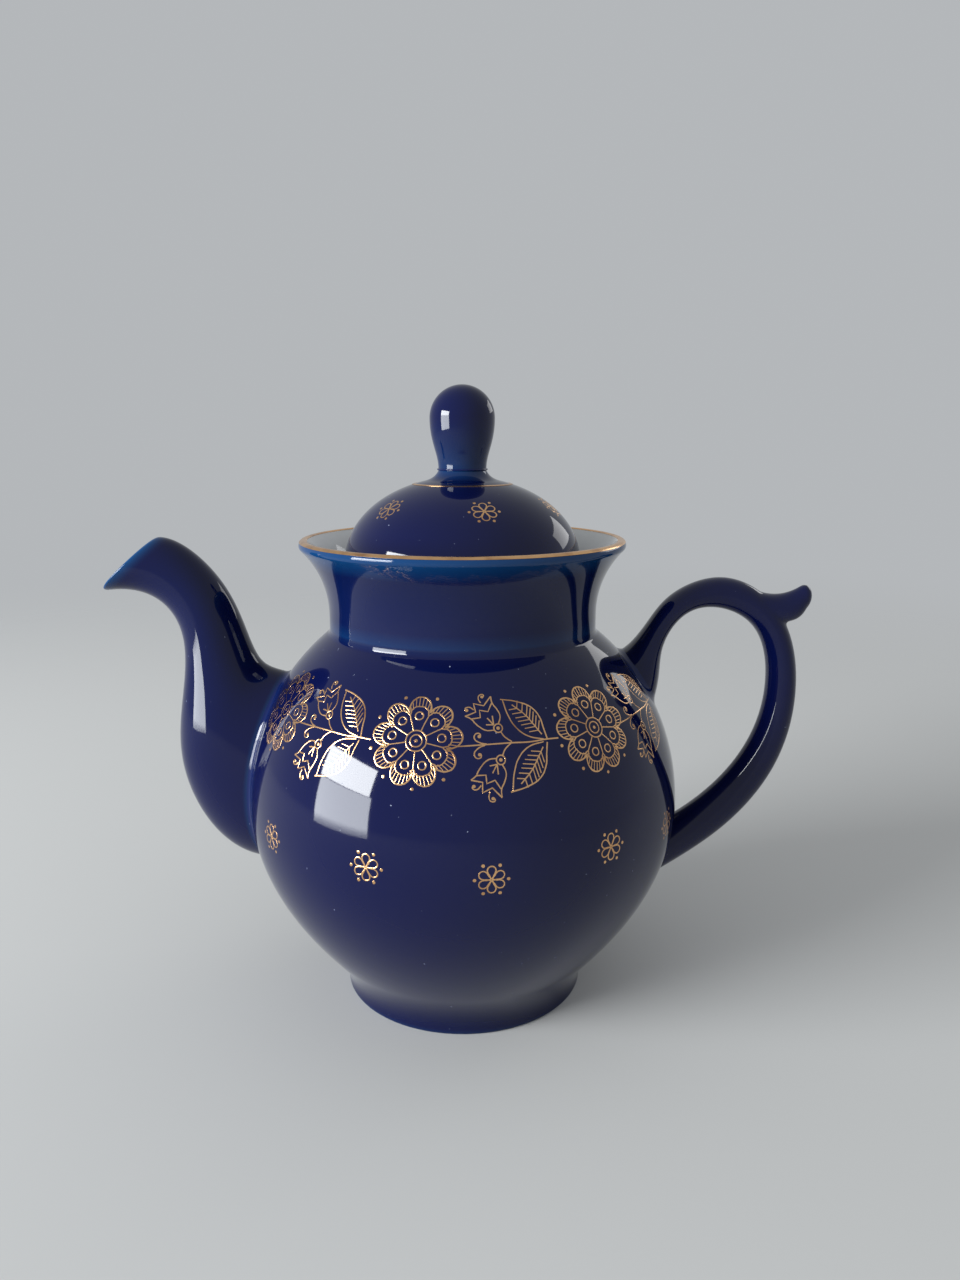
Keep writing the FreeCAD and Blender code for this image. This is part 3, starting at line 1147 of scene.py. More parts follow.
    def knob_seam(self) -> bpy.types.Object:
        """Bead of slip between the lid and the knob.

        Returns:
            The bead as a piece.
        """
        low = (self.knob_base, self.boss_top)
        high = (self.knob_base, self.boss_top + self.seam)
        out = self.knob_base + self.bead
        form = Profile()
        form.run([(0.0, low[1])])
        form.run(bezier([low, (out, low[1]), (out, high[1]), high], 12))
        form.run([(0.0, high[1])])
        piece = self.wheel.turn("knob_seam", form, self.finishes.seam)
        return settle(piece, Body.LID, ("knob_luting",))

    def gold_line(self) -> bpy.types.Object:
        """Fired gold line round the crown of the lid.

        Returns:
            The line as a piece.
        """
        form = Profile()
        for proud, way in ((self.gilt, 1), (-self.gilt, -1)):
            for share in (-0.5, -0.25, 0.0, 0.25, 0.5)[::way]:
                (radius, height), lean = self.dome_at(self.line_radius + share * self.line_width)
                form.run([(radius + proud * math.cos(lean), height + proud * math.sin(lean))])
        form.run([form.points[0]])
        piece = self.wheel.turn("lid_gold_line", form, self.finishes.gold)
        return settle(piece, Body.LID, ("lid_gilding",))


@dataclass(frozen=True)
class Station:
    """Oval section of a spout or handle in the middle plane of the pot.

    Outer and inner edge are given as reach beyond the widest line of the belly and height above it.
    """

    outer: Point
    inner: Point
    half_width: float


class Horn:
    """Smooth curved form through a row of oval sections, to one side of the pot."""

    SEARCH = 1601

    def __init__(
        self,
        belly: Belly,
        side: int,
        stations: list[Station],
        grow: float = 0.0,
        mouth_grow: float | None = None,
    ) -> None:
        """Fits the curves that carry the sections.

        Args:
            belly: Belly that the sections are measured from.
            side: +1 towards the handle, -1 towards the spout.
            stations: The sections.
            grow: How much wider than given every section is.
            mouth_grow: The same for the height of the last section, where it differs.
        """
        rows = []
        for place, item in enumerate(stations):
            ends = np.array([item.outer, item.inner]) + (belly.radius, belly.height)
            middle = ends.mean(axis=0)
            along = (ends[0] - ends[1]) / 2
            last = place == len(stations) - 1 and mouth_grow is not None
            along *= 1 + (mouth_grow if last else grow) / np.hypot(*along)
            rows.append([side * middle[0], middle[1], side * along[0], along[1], item.half_width + grow])
        self.rows = np.array(rows)
        steps = np.hypot(*np.diff(self.rows[:, :2], axis=0).T)
        self.knots = np.concatenate([[0.0], np.cumsum(steps)]) / steps.sum()
        self.bends = self._bends()

    def _bends(self) -> np.ndarray:
        """Second derivatives of the curves at the sections.

        Returns:
            A row for each section.
        """
        count = len(self.knots)
        step = np.diff(self.knots)
        left = np.zeros((count, count))
        right = np.zeros_like(self.rows)
        left[0, :3] = step[1], -step[0] - step[1], step[0]
        left[-1, -3:] = step[-1], -step[-2] - step[-1], step[-2]
        for i in range(1, count - 1):
            left[i, i - 1 : i + 2] = step[i - 1], 2 * (step[i - 1] + step[i]), step[i]
            rise = np.diff(self.rows[i - 1 : i + 2], axis=0) / step[i - 1 : i + 1, None]
            right[i] = 6 * (rise[1] - rise[0])
        return np.linalg.solve(left, right)

    def at(self, t: np.ndarray) -> np.ndarray:
        """Finds the sections between those that are given.

        Args:
            t: Places along the form, from 0 to 1.

        Returns:
            Middle, half height vector and half width of the section at each place.
        """
        t = np.asarray(t, float)
        place = np.clip(np.searchsorted(self.knots, t, side="right") - 1, 0, len(self.knots) - 2)
        step = (self.knots[place + 1] - self.knots[place])[..., None]
        b = (t - self.knots[place])[..., None] / step
        a = 1 - b
        bend = (a**3 - a) * self.bends[place] + (b**3 - b) * self.bends[place + 1]
        return a * self.rows[place] + b * self.rows[place + 1] + bend * step**2 / 6

    def points(self, turn: np.ndarray, t: np.ndarray) -> np.ndarray:
        """Finds points of the skin.

        Args:
            turn: Angles round the section.
            t: Places along the form.

        Returns:
            A point for each angle and place.
        """
        row = self.at(t)
        out = np.cos(turn)
        x = row[..., 0] + row[..., 2] * out
        z = row[..., 1] + row[..., 3] * out
        return np.stack([x, row[..., 4] * np.sin(turn), z], axis=-1)

    def outward(self, turn: np.ndarray, t: np.ndarray) -> np.ndarray:
        """Direction that leads away from the middle of the section.

        Args:
            turn: Angles round the section.
            t: Places along the form.

        Returns:
            A direction for each angle and place.
        """
        middle = self.at(t)
        centre = np.stack([middle[..., 0], np.zeros_like(middle[..., 0]), middle[..., 1]], axis=-1)
        return normed(self.points(turn, t) - centre)

    def meets(self, belly: Belly, turn: np.ndarray, sunk: float, from_end: bool = False) -> np.ndarray:
        """Where the skin passes a depth under the face of the belly, for each angle.

        Args:
            belly: The belly.
            turn: Angles round the section.
            sunk: Depth under the face.
            from_end: Looks for the root at the far end.

        Returns:
            A place along the form for each angle.
        """
        places = np.linspace(0.0, 1.0, self.SEARCH)
        if from_end:
            places = places[::-1]
        clear = belly.gap(self.points(turn[:, None], places[None, :])) + sunk
        first = np.argmax((clear[:, 1:] > 0) & (clear[:, :-1] <= 0), axis=1)
        rows = np.arange(len(turn))
        low, high = clear[rows, first], clear[rows, first + 1]
        share = -low / (high - low)
        return places[first] + share * (places[first + 1] - places[first])


def curled(first: np.ndarray, corner: np.ndarray, last: np.ndarray, count: int) -> np.ndarray:
    """Rings from one ring to another, pulled towards a corner between them."""
    shares = np.linspace(0.0, 1.0, count)
    return np.array([first * (1 - s) ** 2 + corner * 2 * s * (1 - s) + last * s**2 for s in shares])


def skin_mesh(
    name: str, rings: np.ndarray, closed: bool, thin: np.ndarray | None = None, crease: float = 60.0
) -> bpy.types.Object:
    """Mesh over a row of rings of points.

    Args:
        name: Name of the object.
        rings: Points in millimetres, ring by ring.
        closed: Joins the last ring to the first; otherwise both ends get a cap.
        thin: How thin the glaze is at each point.
        crease: Angle above which an edge stays hard.

    Returns:
        The new object.
    """
    count, around = rings.shape[:2]
    faces = []
    for i in range(count if closed else count - 1):
        for k in range(around):
            here, there = i * around, (i + 1) % count * around
            faces.append((here + k, here + (k + 1) % around, there + (k + 1) % around, there + k))
    if not closed:
        faces.append(tuple(range(around))[::-1])
        faces.append(tuple((count - 1) * around + k for k in range(around)))
    mesh = bpy.data.meshes.new(name)
    mesh.from_pydata((rings.reshape(-1, 3) * MM).tolist(), [], faces)
    if thin is not None:
        noted(mesh, "thin", thin)
    return smooth(linked(name, mesh), crease)


def seam_mesh(
    name: str, horn: Horn, belly: Belly, width: float, from_end: bool, around: int = 160
) -> bpy.types.Object:
    """Soft bead of slip in the corner between a horn and the belly.

    Args:
        name: Name of the object.
        horn: The form that stands on the belly.
        belly: The belly.
        width: How far the bead reaches on both sides of the corner.
        from_end: Takes the root at the far end of the horn.
        around: Number of points round the joint.

    Returns:
        The bead as a closed ring.
    """
    sunk, tuck, depth, fullness, nudge = 0.08, 0.05, 0.8, 0.75, 0.002
    turn = angles(around)
    root = horn.meets(belly, turn, 0.0, from_end)
    corner = horn.points(turn, root)
    climb = normed(horn.points(turn, root + (-nudge if from_end else nudge)) - corner)
    spread = horn.outward(turn, root)
    face = normed(corner - (0.0, 0.0, belly.height))
    spread = normed(spread - face * np.sum(spread * face, axis=-1, keepdims=True))
    foot = belly.onto(corner + spread * width, -sunk)
    upper = corner + climb * width - spread * tuck
    deep = corner - face * depth - spread * depth
    pull = corner * fullness + (foot + upper) * (1 - fullness) / 2
    rings = np.concatenate([curled(foot, pull, upper, 8), deep[None]])
    return skin_mesh(name, rings, True)


@dataclass
class Spout:
    """S-curved hollow spout with a beaked mouth, and its seam on the belly."""

    belly: Belly
    finishes: Finishes
    wall: float = 3.5
    mouth_wall: float = 5.8
    lip_edge: float = 1.4
    beak_edge: float = 5.0
    root_low: float = -28.0
    root_high: float = 48.0
    root_width: float = 21.0
    root_depth: float = 4.0
    sunk: float = 1.6
    seam_width: float = 1.9
    around: int = 160
    along: int = 170
    lip_along: int = 12
    lip_glow: float = 5.0
    root_glow: float = 3.0
    root_thin: float = 0.6
    stations: tuple[Station, ...] = (
        Station((19.0, -12.5), (-8.5, 51.2), 19.5),
        Station((28.4, 13.0), (-3.8, 54.8), 17.5),
        Station((26.6, 42.0), (0.5, 65.0), 13.6),
        Station((26.0, 67.0), (8.6, 84.0), 11.4),
        Station((33.5, 78.4), (18.5, 96.0), 10.4),
        Station((57.0, 82.0), (34.0, 103.2), 9.8),
    )

    def rows(self) -> list[Station]:
        """Every section, with the root that lies in the wall of the belly."""
        root = root_station(self.belly, self.root_low, self.root_high, self.root_width, self.root_depth)
        return [root, *self.stations]

    def build(self) -> list[bpy.types.Object]:
        """Makes the spout and its seam.

        Returns:
            The spout first.
        """
        turn = angles(self.around)
        outer = Horn(self.belly, -1, self.rows())
        bore = Horn(self.belly, -1, self.rows(), -self.wall, -self.mouth_wall)
        shares = np.linspace(0.0, 1.0, self.along)[:, None]
        skins = []
        for horn in (outer, bore):
            start = horn.meets(self.belly, turn, self.sunk)
            skins.append(horn.points(turn[None, :], start + (1 - start) * shares))
        outside, inside = self.rounded_lip(*skins)
        rings = np.concatenate([outside, inside[::-1]])
        thin = self.thinness(rings, skins[0][-1])
        piece = skin_mesh("spout_glazed", rings, True, thin)
        piece.data.materials.append(self.finishes.cobalt)
        settle(piece, Body.POT, ("spout",))
        seam = seam_mesh("spout_seam", outer, self.belly, self.seam_width, False)
        seam.data.materials.append(self.finishes.seam)
        return [piece, settle(seam, Body.POT, ("spout_luting",))]

    def rounded_lip(self, outside: np.ndarray, inside: np.ndarray) -> tuple[np.ndarray, np.ndarray]:
        """Takes the edges off the mouth.

        Args:
            outside: Rings of the outer skin, up to the mouth.
            inside: Rings of the bore, up to the mouth.

        Returns:
            Both rows of rings, ending in the rounds of the lip.
        """
        turn = angles(self.around)
        beak = np.clip(np.cos(turn), 0.0, 1.0) ** 4
        outer_round = self.lip_edge + (self.beak_edge - self.lip_edge) * beak
        rounded = []
        for skin, other, reach in (
            (outside, inside, outer_round[:, None]),
            (inside, outside, np.full((self.around, 1), self.lip_edge / 2)),
        ):
            edge = skin[-1]
            across = normed(other[-1] - edge)
            along = np.linalg.norm(skin - edge, axis=-1)
            shares = np.linspace(0.0, 1.0, self.along)
            rings = np.empty_like(skin)
            first = np.empty_like(edge)
            for k in range(self.around):
                stop = np.interp(-reach[k, 0], -along[:, k], shares)
                for axis in range(3):
                    rings[:, k, axis] = np.interp(shares * stop, shares, skin[:, k, axis])
                first[k] = rings[-1, k]
            last = edge + across * reach
            rounded.append(np.concatenate([rings, curled(first, edge, last, self.lip_along)[1:]]))
        return rounded[0], rounded[1]

    def thinness(self, rings: np.ndarray, mouth: np.ndarray) -> np.ndarray:
        """How thin the glaze is: thin on the lip and over the root.

        Args:
            rings: The points of the spout.
            mouth: The sharp edge of its mouth.

        Returns:
            A thinness for each point.
        """
        centre = mouth.mean(axis=0)
        normal = np.cross(mouth[0] - centre, mouth[len(mouth) // 4] - centre)
        normal /= np.linalg.norm(normal)
        off = np.abs((rings - centre) @ normal)
        lip = np.clip(1 - off / self.lip_glow, 0.0, 1.0) ** 2
        root = np.clip(1 - self.belly.gap(rings) / self.root_glow, 0.0, 1.0)
        return np.maximum(lip, self.root_thin * root)


def root_station(belly: Belly, first: float, second: float, half_width: float, depth: float) -> Station:
    """A section whose two edges lie under the face of the belly.

    Args:
        belly: The belly.
        first: Height of the outer edge above the widest line.
        second: Height of the inner edge.
        half_width: Half width of the section.
        depth: How far inside the face it lies.

    Returns:
        The section.
    """
    edges = []
    for rise in (first, second):
        radius = float(belly.radius_at(np.array(belly.height + rise)))
        edges.append((radius - belly.radius - depth, rise))
    return Station(edges[0], edges[1], half_width)


@dataclass
class Handle:
    """Ear handle with a thumb spur on its upper bend, and its two seams on the belly."""

    belly: Belly
    finishes: Finishes
    upper_high: float = 58.0
    upper_low: float = 33.0
    upper_width: float = 14.0
    lower_high: float = -15.0
    lower_low: float = -42.0
    lower_width: float = 11.5
    root_depth: float = 4.0
    sunk: float = 1.6
    seam_width: float = 2.2
    around: int = 96
    along: int = 260
    grain: float = 0.6
    soften: int = 16
    crease: float = 80.0
    spur_along: int = 40
    tip_along: int = 14
    tip_length: float = 4.2
    stations: tuple[Station, ...] = (
        Station((-18.6, 61.0), (-7.0, 51.0), 11.0),
        Station((-13.6, 67.4), (-6.3, 58.6), 8.4),
        Station((-3.7, 80.1), (0.8, 71.6), 7.4),
        Station((15.5, 87.6), (13.5, 75.7), 7.2),
        Station((37.0, 77.0), (28.6, 69.0), 7.2),
        Station((47.8, 45.0), (36.0, 46.0), 7.2),
        Station((41.2, 10.8), (30.2, 20.4), 7.4),
        Station((24.5, -12.8), (16.4, 1.2), 7.8),
        Station((8.0, -26.0), (3.6, -9.8), 9.4),
    )
    spur: tuple[Station, ...] = (
        Station((12.0, 85.2), (20.0, 76.0), 5.8),
        Station((27.0, 83.4), (34.0, 71.0), 6.2),
        Station((38.0, 81.0), (44.8, 70.4), 6.2),
        Station((47.0, 83.8), (49.8, 75.2), 4.5),
    )

    def rows(self) -> list[Station]:
        """Every section, with the two roots that lie in the wall of the belly.

        Returns:
            The sections from the upper root to the lower.
        """
        upper = root_station(self.belly, self.upper_high, self.upper_low, self.upper_width, self.root_depth)
        lower = root_station(self.belly, self.lower_low, self.lower_high, self.lower_width, self.root_depth)
        return [upper, *self.stations, lower]

    def build(self) -> list[bpy.types.Object]:
        """Makes the handle and its two seams.

        Returns:
            The handle first.
        """
        turn = angles(self.around)
        horn = Horn(self.belly, 1, self.rows())
        start = horn.meets(self.belly, turn, self.sunk)
        end = horn.meets(self.belly, turn, self.sunk, True)
        shares = np.linspace(0.0, 1.0, self.along)[:, None]
        bow = skin_mesh("handle_bow", horn.points(turn[None, :], start + (end - start) * shares), False)
        spur = skin_mesh("handle_spur", self.spur_rings(turn), False)
        piece = self.melted("handle_glazed", [bow, spur])
        piece.data.materials.append(self.finishes.cobalt)
        settle(piece, Body.POT, ("handle",))
        made = [piece]
        for name, from_end in (("handle_upper", False), ("handle_lower", True)):
            seam = seam_mesh(name + "_seam", horn, self.belly, self.seam_width, from_end)
            seam.data.materials.append(self.finishes.seam)
            made.append(settle(seam, Body.POT, (name + "_luting",)))
        return made

    def spur_rings(self, turn: np.ndarray) -> np.ndarray:
        """Rings of the thumb spur, closed by a round tip.

        Args:
            turn: Angles of the points of a ring.

        Returns:
            The rings from the handle to the tip.
        """
        horn = Horn(self.belly, 1, list(self.spur))
        rings = [horn.points(turn, np.full_like(turn, t)) for t in np.linspace(0.0, 1.0, self.spur_along)]
        tip = rings[-1]
        centre = tip.mean(axis=0)
        ahead = centre - rings[-3].mean(axis=0)
        ahead *= self.tip_length / np.linalg.norm(ahead)
        for angle in np.linspace(0.0, math.pi / 2, self.tip_along)[1:-1]:
            rings.append(centre + (tip - centre) * math.cos(angle) + ahead * math.sin(angle))
        return np.array(rings)

    def melted(self, name: str, parts: list[bpy.types.Object]) -> bpy.types.Object:
        """Joins overlapping parts into one skin with soft corners.

        Args:
            name: Name of the piece.
            parts: The parts, which are used up.

        Returns:
            The joined piece.
        """
        form = bmesh.new()
        for part in parts:
            form.from_mesh(part.data)
        mesh = bpy.data.meshes.new(name + "_parts")
        form.to_mesh(mesh)
        form.free()
        drop(*parts)
        rough = linked(name + "_parts", mesh)
        remesh = rough.modifiers.new("join", "REMESH")
        remesh.mode = "VOXEL"
        remesh.voxel_size = self.grain * MM
        softer = rough.modifiers.new("soften", "SMOOTH")
        softer.iterations = self.soften
        return smooth(linked(name, frozen(rough)), self.crease)


def stepped(points: list[Point], step: float = 1.5) -> list[Point]:
    """A broken line with more points on its straight runs, so that it can follow a round face.

    Args:
        points: Corners of the line.
        step: Longest step between two points, about.

    Returns:
        The corners and the points between them.
    """
    spots = [points[0]]
    for start, end in zip(points, points[1:]):
        count = 1 + int(math.dist(start, end) / step)
        for share in np.linspace(0.0, 1.0, count + 1)[1:]:
            spots.append((start[0] + (end[0] - start[0]) * share, start[1] + (end[1] - start[1]) * share))
    return spots


@dataclass
class Motif:
    """A drawn ornament: strokes and dots on a flat sheet, +Y up the pot."""

    strokes: list[tuple[list[Point], Corner, bool, float]] = field(default_factory=list)
    dots: list[Point] = field(default_factory=list)
    ring_knots: int = 8
    bends: int = 6

    def stroke(
        self, points: list[Point], corner: Corner = Corner.ROUND, ring: bool = False, weight: float = 1.0
    ) -> None:
        """Draws a line through points.

        Args:
            points: The points.
            corner: How the line runs through them.
            ring: Leads the line back to its start.
            weight: Its width, as a share of the line width.
        """
        if corner is Corner.SHARP:
            points = stepped(points)
        self.strokes.append((points, corner, ring, weight))

    def circle(self, centre: Point, radius: float, weight: float = 1.0) -> None:
        """Draws a small ring.

        Args:
            centre: Its middle.
            radius: Its radius.
            weight: Its width, as a share of the line width.
        """
        turns = angles(self.ring_knots)
        spots = [(centre[0] + radius * math.cos(a), centre[1] + radius * math.sin(a)) for a in turns]
        self.stroke(spots, Corner.ROUND, True, weight)

    def placed(self, other: "Motif", change: Callable[[Point], Point]) -> None:
        """Draws another motif with each of its points changed.

        Args:
            other: The other motif.
            change: Gives the new place of a point.
        """
        for points, corner, ring, weight in other.strokes:
            self.stroke([change(spot) for spot in points], corner, ring, weight)
        self.dots += [change(spot) for spot in other.dots]

    def sheets(self, name: str) -> tuple[bpy.types.Object, bpy.types.Object]:
        """Makes the strokes a curve object and the dots a row of vertices.

        Args:
            name: Start of the names of both.

        Returns:
            The strokes and the dots.
        """
        data = bpy.data.curves.new(name + "_strokes", "CURVE")
        data.dimensions = "3D"
        data.twist_mode = "Z_UP"
        data.resolution_u = self.bends
        for points, corner, ring, weight in self.strokes:
            spline = data.splines.new(corner.value)
            knots = spline.bezier_points if corner is Corner.ROUND else spline.points
            knots.add(len(points) - 1)
            for knot, spot in zip(knots, points):
                knot.radius = weight
                if corner is Corner.ROUND:
                    knot.co = Vector((*spot, 0.0)) * MM
                    knot.handle_left_type = knot.handle_right_type = "AUTO"
                else:
                    knot.co = (*(part * MM for part in spot), 0.0, 1.0)
            spline.use_cyclic_u = ring
        mesh = bpy.data.meshes.new(name + "_dots")
        mesh.from_pydata([(x * MM, y * MM, 0.0) for x, y in self.dots], [], [])
        return linked(name + "_strokes", data), linked(name + "_dots", mesh)


def petal() -> Motif:
    """One petal of a rosette, its middle line along +Y.

    Returns:
        The drawn motif.
    """
    drawn = Motif()
    drawn.stroke([(1.3, 3.6), (2.4, 6.7), (3.4, 9.4)], weight=0.9)
    inner = [(-3.2, 9.2), (-2.95, 10.9), (-1.7, 12.1), (0.0, 12.4), (1.7, 12.1), (2.95, 10.9), (3.2, 9.2)]
    outer = [(-3.8, 10.2), (-3.8, 12.4), (-2.5, 15.0), (0.0, 16.1), (2.5, 15.0), (3.8, 12.4), (3.8, 10.2)]
    drawn.stroke(inner, weight=0.95)
    drawn.stroke(outer, weight=1.3)
    drawn.circle((0.0, 8.9), 1.4)
    for angle in np.radians(np.linspace(14.0, 166.0, 8)):
        near = (3.0 * math.cos(angle), 9.2 + 3.2 * math.sin(angle))
        far = (3.7 * math.cos(angle), 10.6 + 5.4 * math.sin(angle))
        drawn.stroke([near, far], Corner.SHARP, weight=0.7)
    return drawn


def rosette_eye() -> Motif:
    """Rings in the middle of a rosette, and the dots round it; the stem leaves by the gap to the right.

    Returns:
        The drawn motif.
    """
    drawn = Motif(dots=[(0.0, 0.0)])
    drawn.circle((0.0, 0.0), 2.1)
    drawn.circle((0.0, 0.0), 3.6)
    for angle in np.radians(np.arange(71.0, 331.0, 40.0)):
        drawn.dots.append((16.6 * math.cos(angle), 16.6 * math.sin(angle)))
    return drawn


def tulip() -> Motif:
    """Tulip with a zigzag crown, its ring at the origin and its mouth to the upper left.

    Returns:
        The drawn motif.
    """
    drawn = Motif(dots=[(0.0, 0.0), (-10.1, 7.7), (-4.0, 12.2)])
    drawn.circle((0.0, 0.0), 1.5)
    drawn.stroke([(-1.5, -0.6), (-4.2, -0.4), (-6.3, 1.0), (-7.8, 2.7), (-8.9, 4.3), (-10.9, 5.6)])
    drawn.stroke([(0.3, 1.5), (1.3, 4.3), (0.5, 7.0), (-0.8, 9.5), (-0.9, 12.1)])
    crown = [(-10.9, 5.6), (-7.0, 6.6), (-7.4, 10.0), (-3.9, 8.7), (-0.9, 12.1)]
    drawn.stroke(crown, Corner.SHARP, weight=1.1)
    drawn.stroke([(-8.9, 4.3), (-5.6, 4.4), (-5.6, 7.2), (-2.7, 6.3), (-1.0, 9.3)], Corner.SHARP)
    drawn.stroke([(-7.6, 7.6), (-9.1, 8.8), (-10.6, 8.3), (-10.2, 7.4)])
    drawn.stroke([(-4.8, 9.9), (-5.4, 11.6), (-4.8, 13.0), (-3.4, 12.9), (-3.6, 12.1)])
    for end in ((-3.3, 4.0), (-1.4, 4.6), (-4.0, 1.6)):
        drawn.stroke([(-1.4, 1.3), end], Corner.SHARP)
    return drawn


def leaf() -> Motif:
    """Pointed leaf with a midrib and veins, its stalk at the origin and its tip to the upper left.

    Returns:
        The drawn motif.
    """
    drawn = Motif()
    edge = [(0.6, 0.3), (-0.2, 4.2), (-0.9, 8.0), (-3.5, 11.9), (-8.4, 14.3), (-14.2, 15.6)]
    drawn.stroke(edge, weight=1.15)
    drawn.stroke([(-0.8, 0.1), (-6.4, 1.5), (-10.1, 4.6), (-12.3, 9.1), (-13.4, 15.2)])
    rib = [(-1.2, 1.8), (-3.6, 5.4), (-6.0, 8.9), (-10.4, 13.2)]
    drawn.stroke(rib)
    knots = (0.0, 0.33, 0.66, 1.0)
    for share in np.linspace(0.14, 0.88, 7):
        spot = np.array([np.interp(share, knots, side) for side in zip(*rib)])
        reach = 4.3 * math.sin(math.pi * (0.22 + 0.62 * share))
        for way in ((0.25, 1.0), (-1.0, -0.12)):
            drawn.stroke([tuple(spot), tuple(spot + np.multiply(way, reach))], Corner.SHARP, weight=0.85)
    return drawn


def spray() -> Motif:
    """Stem between two rosettes with curls, two tulips and two leaves.

    Returns:
        The drawn motif.
    """
    half = Motif()
    half.stroke([(-9.2, 0.0), (-11.6, 0.8), (-13.2, 2.5), (-12.4, 4.0), (-11.0, 3.7), (-11.0, 2.6)])
    half.stroke([(-3.8, 3.9), (-2.6, 1.9), (-0.4, 0.1)])
    half.dots.append((-11.4, 2.9))
    half.placed(tulip(), lambda spot: (spot[0] - 4.5, spot[1] + 5.2))
    half.placed(leaf(), lambda spot: (spot[0] + 12.0, spot[1] + 0.2))
    drawn = Motif()
    stem = [(-20.0, 0.3), (-10.0, -0.1), (0.0, -0.3), (6.0, -0.4), (12.0, 0.2), (17.0, 0.5)]
    drawn.stroke(stem, weight=1.1)
    drawn.placed(half, lambda spot: spot)
    drawn.placed(half, lambda spot: (spot[0] * 1.02 - 0.4, -spot[1] * 1.06 - 0.3))
    return drawn


def floret() -> Motif:
    """One petal of a small scattered flower, with the dot beside it.

    Returns:
        The drawn motif.
    """
    drawn = Motif(dots=[(2.9, 5.02)])
    side = [(0.78, 1.6), (1.42, 3.0), (1.28, 4.0), (0.68, 4.65)]
    left = [(-across, along) for across, along in side]
    drawn.stroke([(0.0, 0.35), *left, (0.0, 4.8), *side[::-1]], ring=True, weight=1.06)
    return drawn


@dataclass(frozen=True)
class Spot:
    """Place of one copy of a motif; azimuth 0 faces the front (-Y) and grows towards the handle."""

    azimuth: float
    radius: float
    height: float
    lean: float

    def place(self, lift: float) -> Vector:
        """Middle of the copy, lifted off the face.

        Args:
            lift: How far off the face.

        Returns:
            The place in metres.
        """
        out = Vector((math.sin(self.azimuth), -math.cos(self.azimuth), 0.0))
        reach = self.radius + lift * math.cos(self.lean)
        return (out * reach + Vector((0.0, 0.0, self.height + lift * math.sin(self.lean)))) * MM

    def turn(self) -> Point3:
        """Turn of the copy, so that it faces outwards with its top up."""
        return (math.pi / 2 - self.lean, 0.0, self.azimuth)


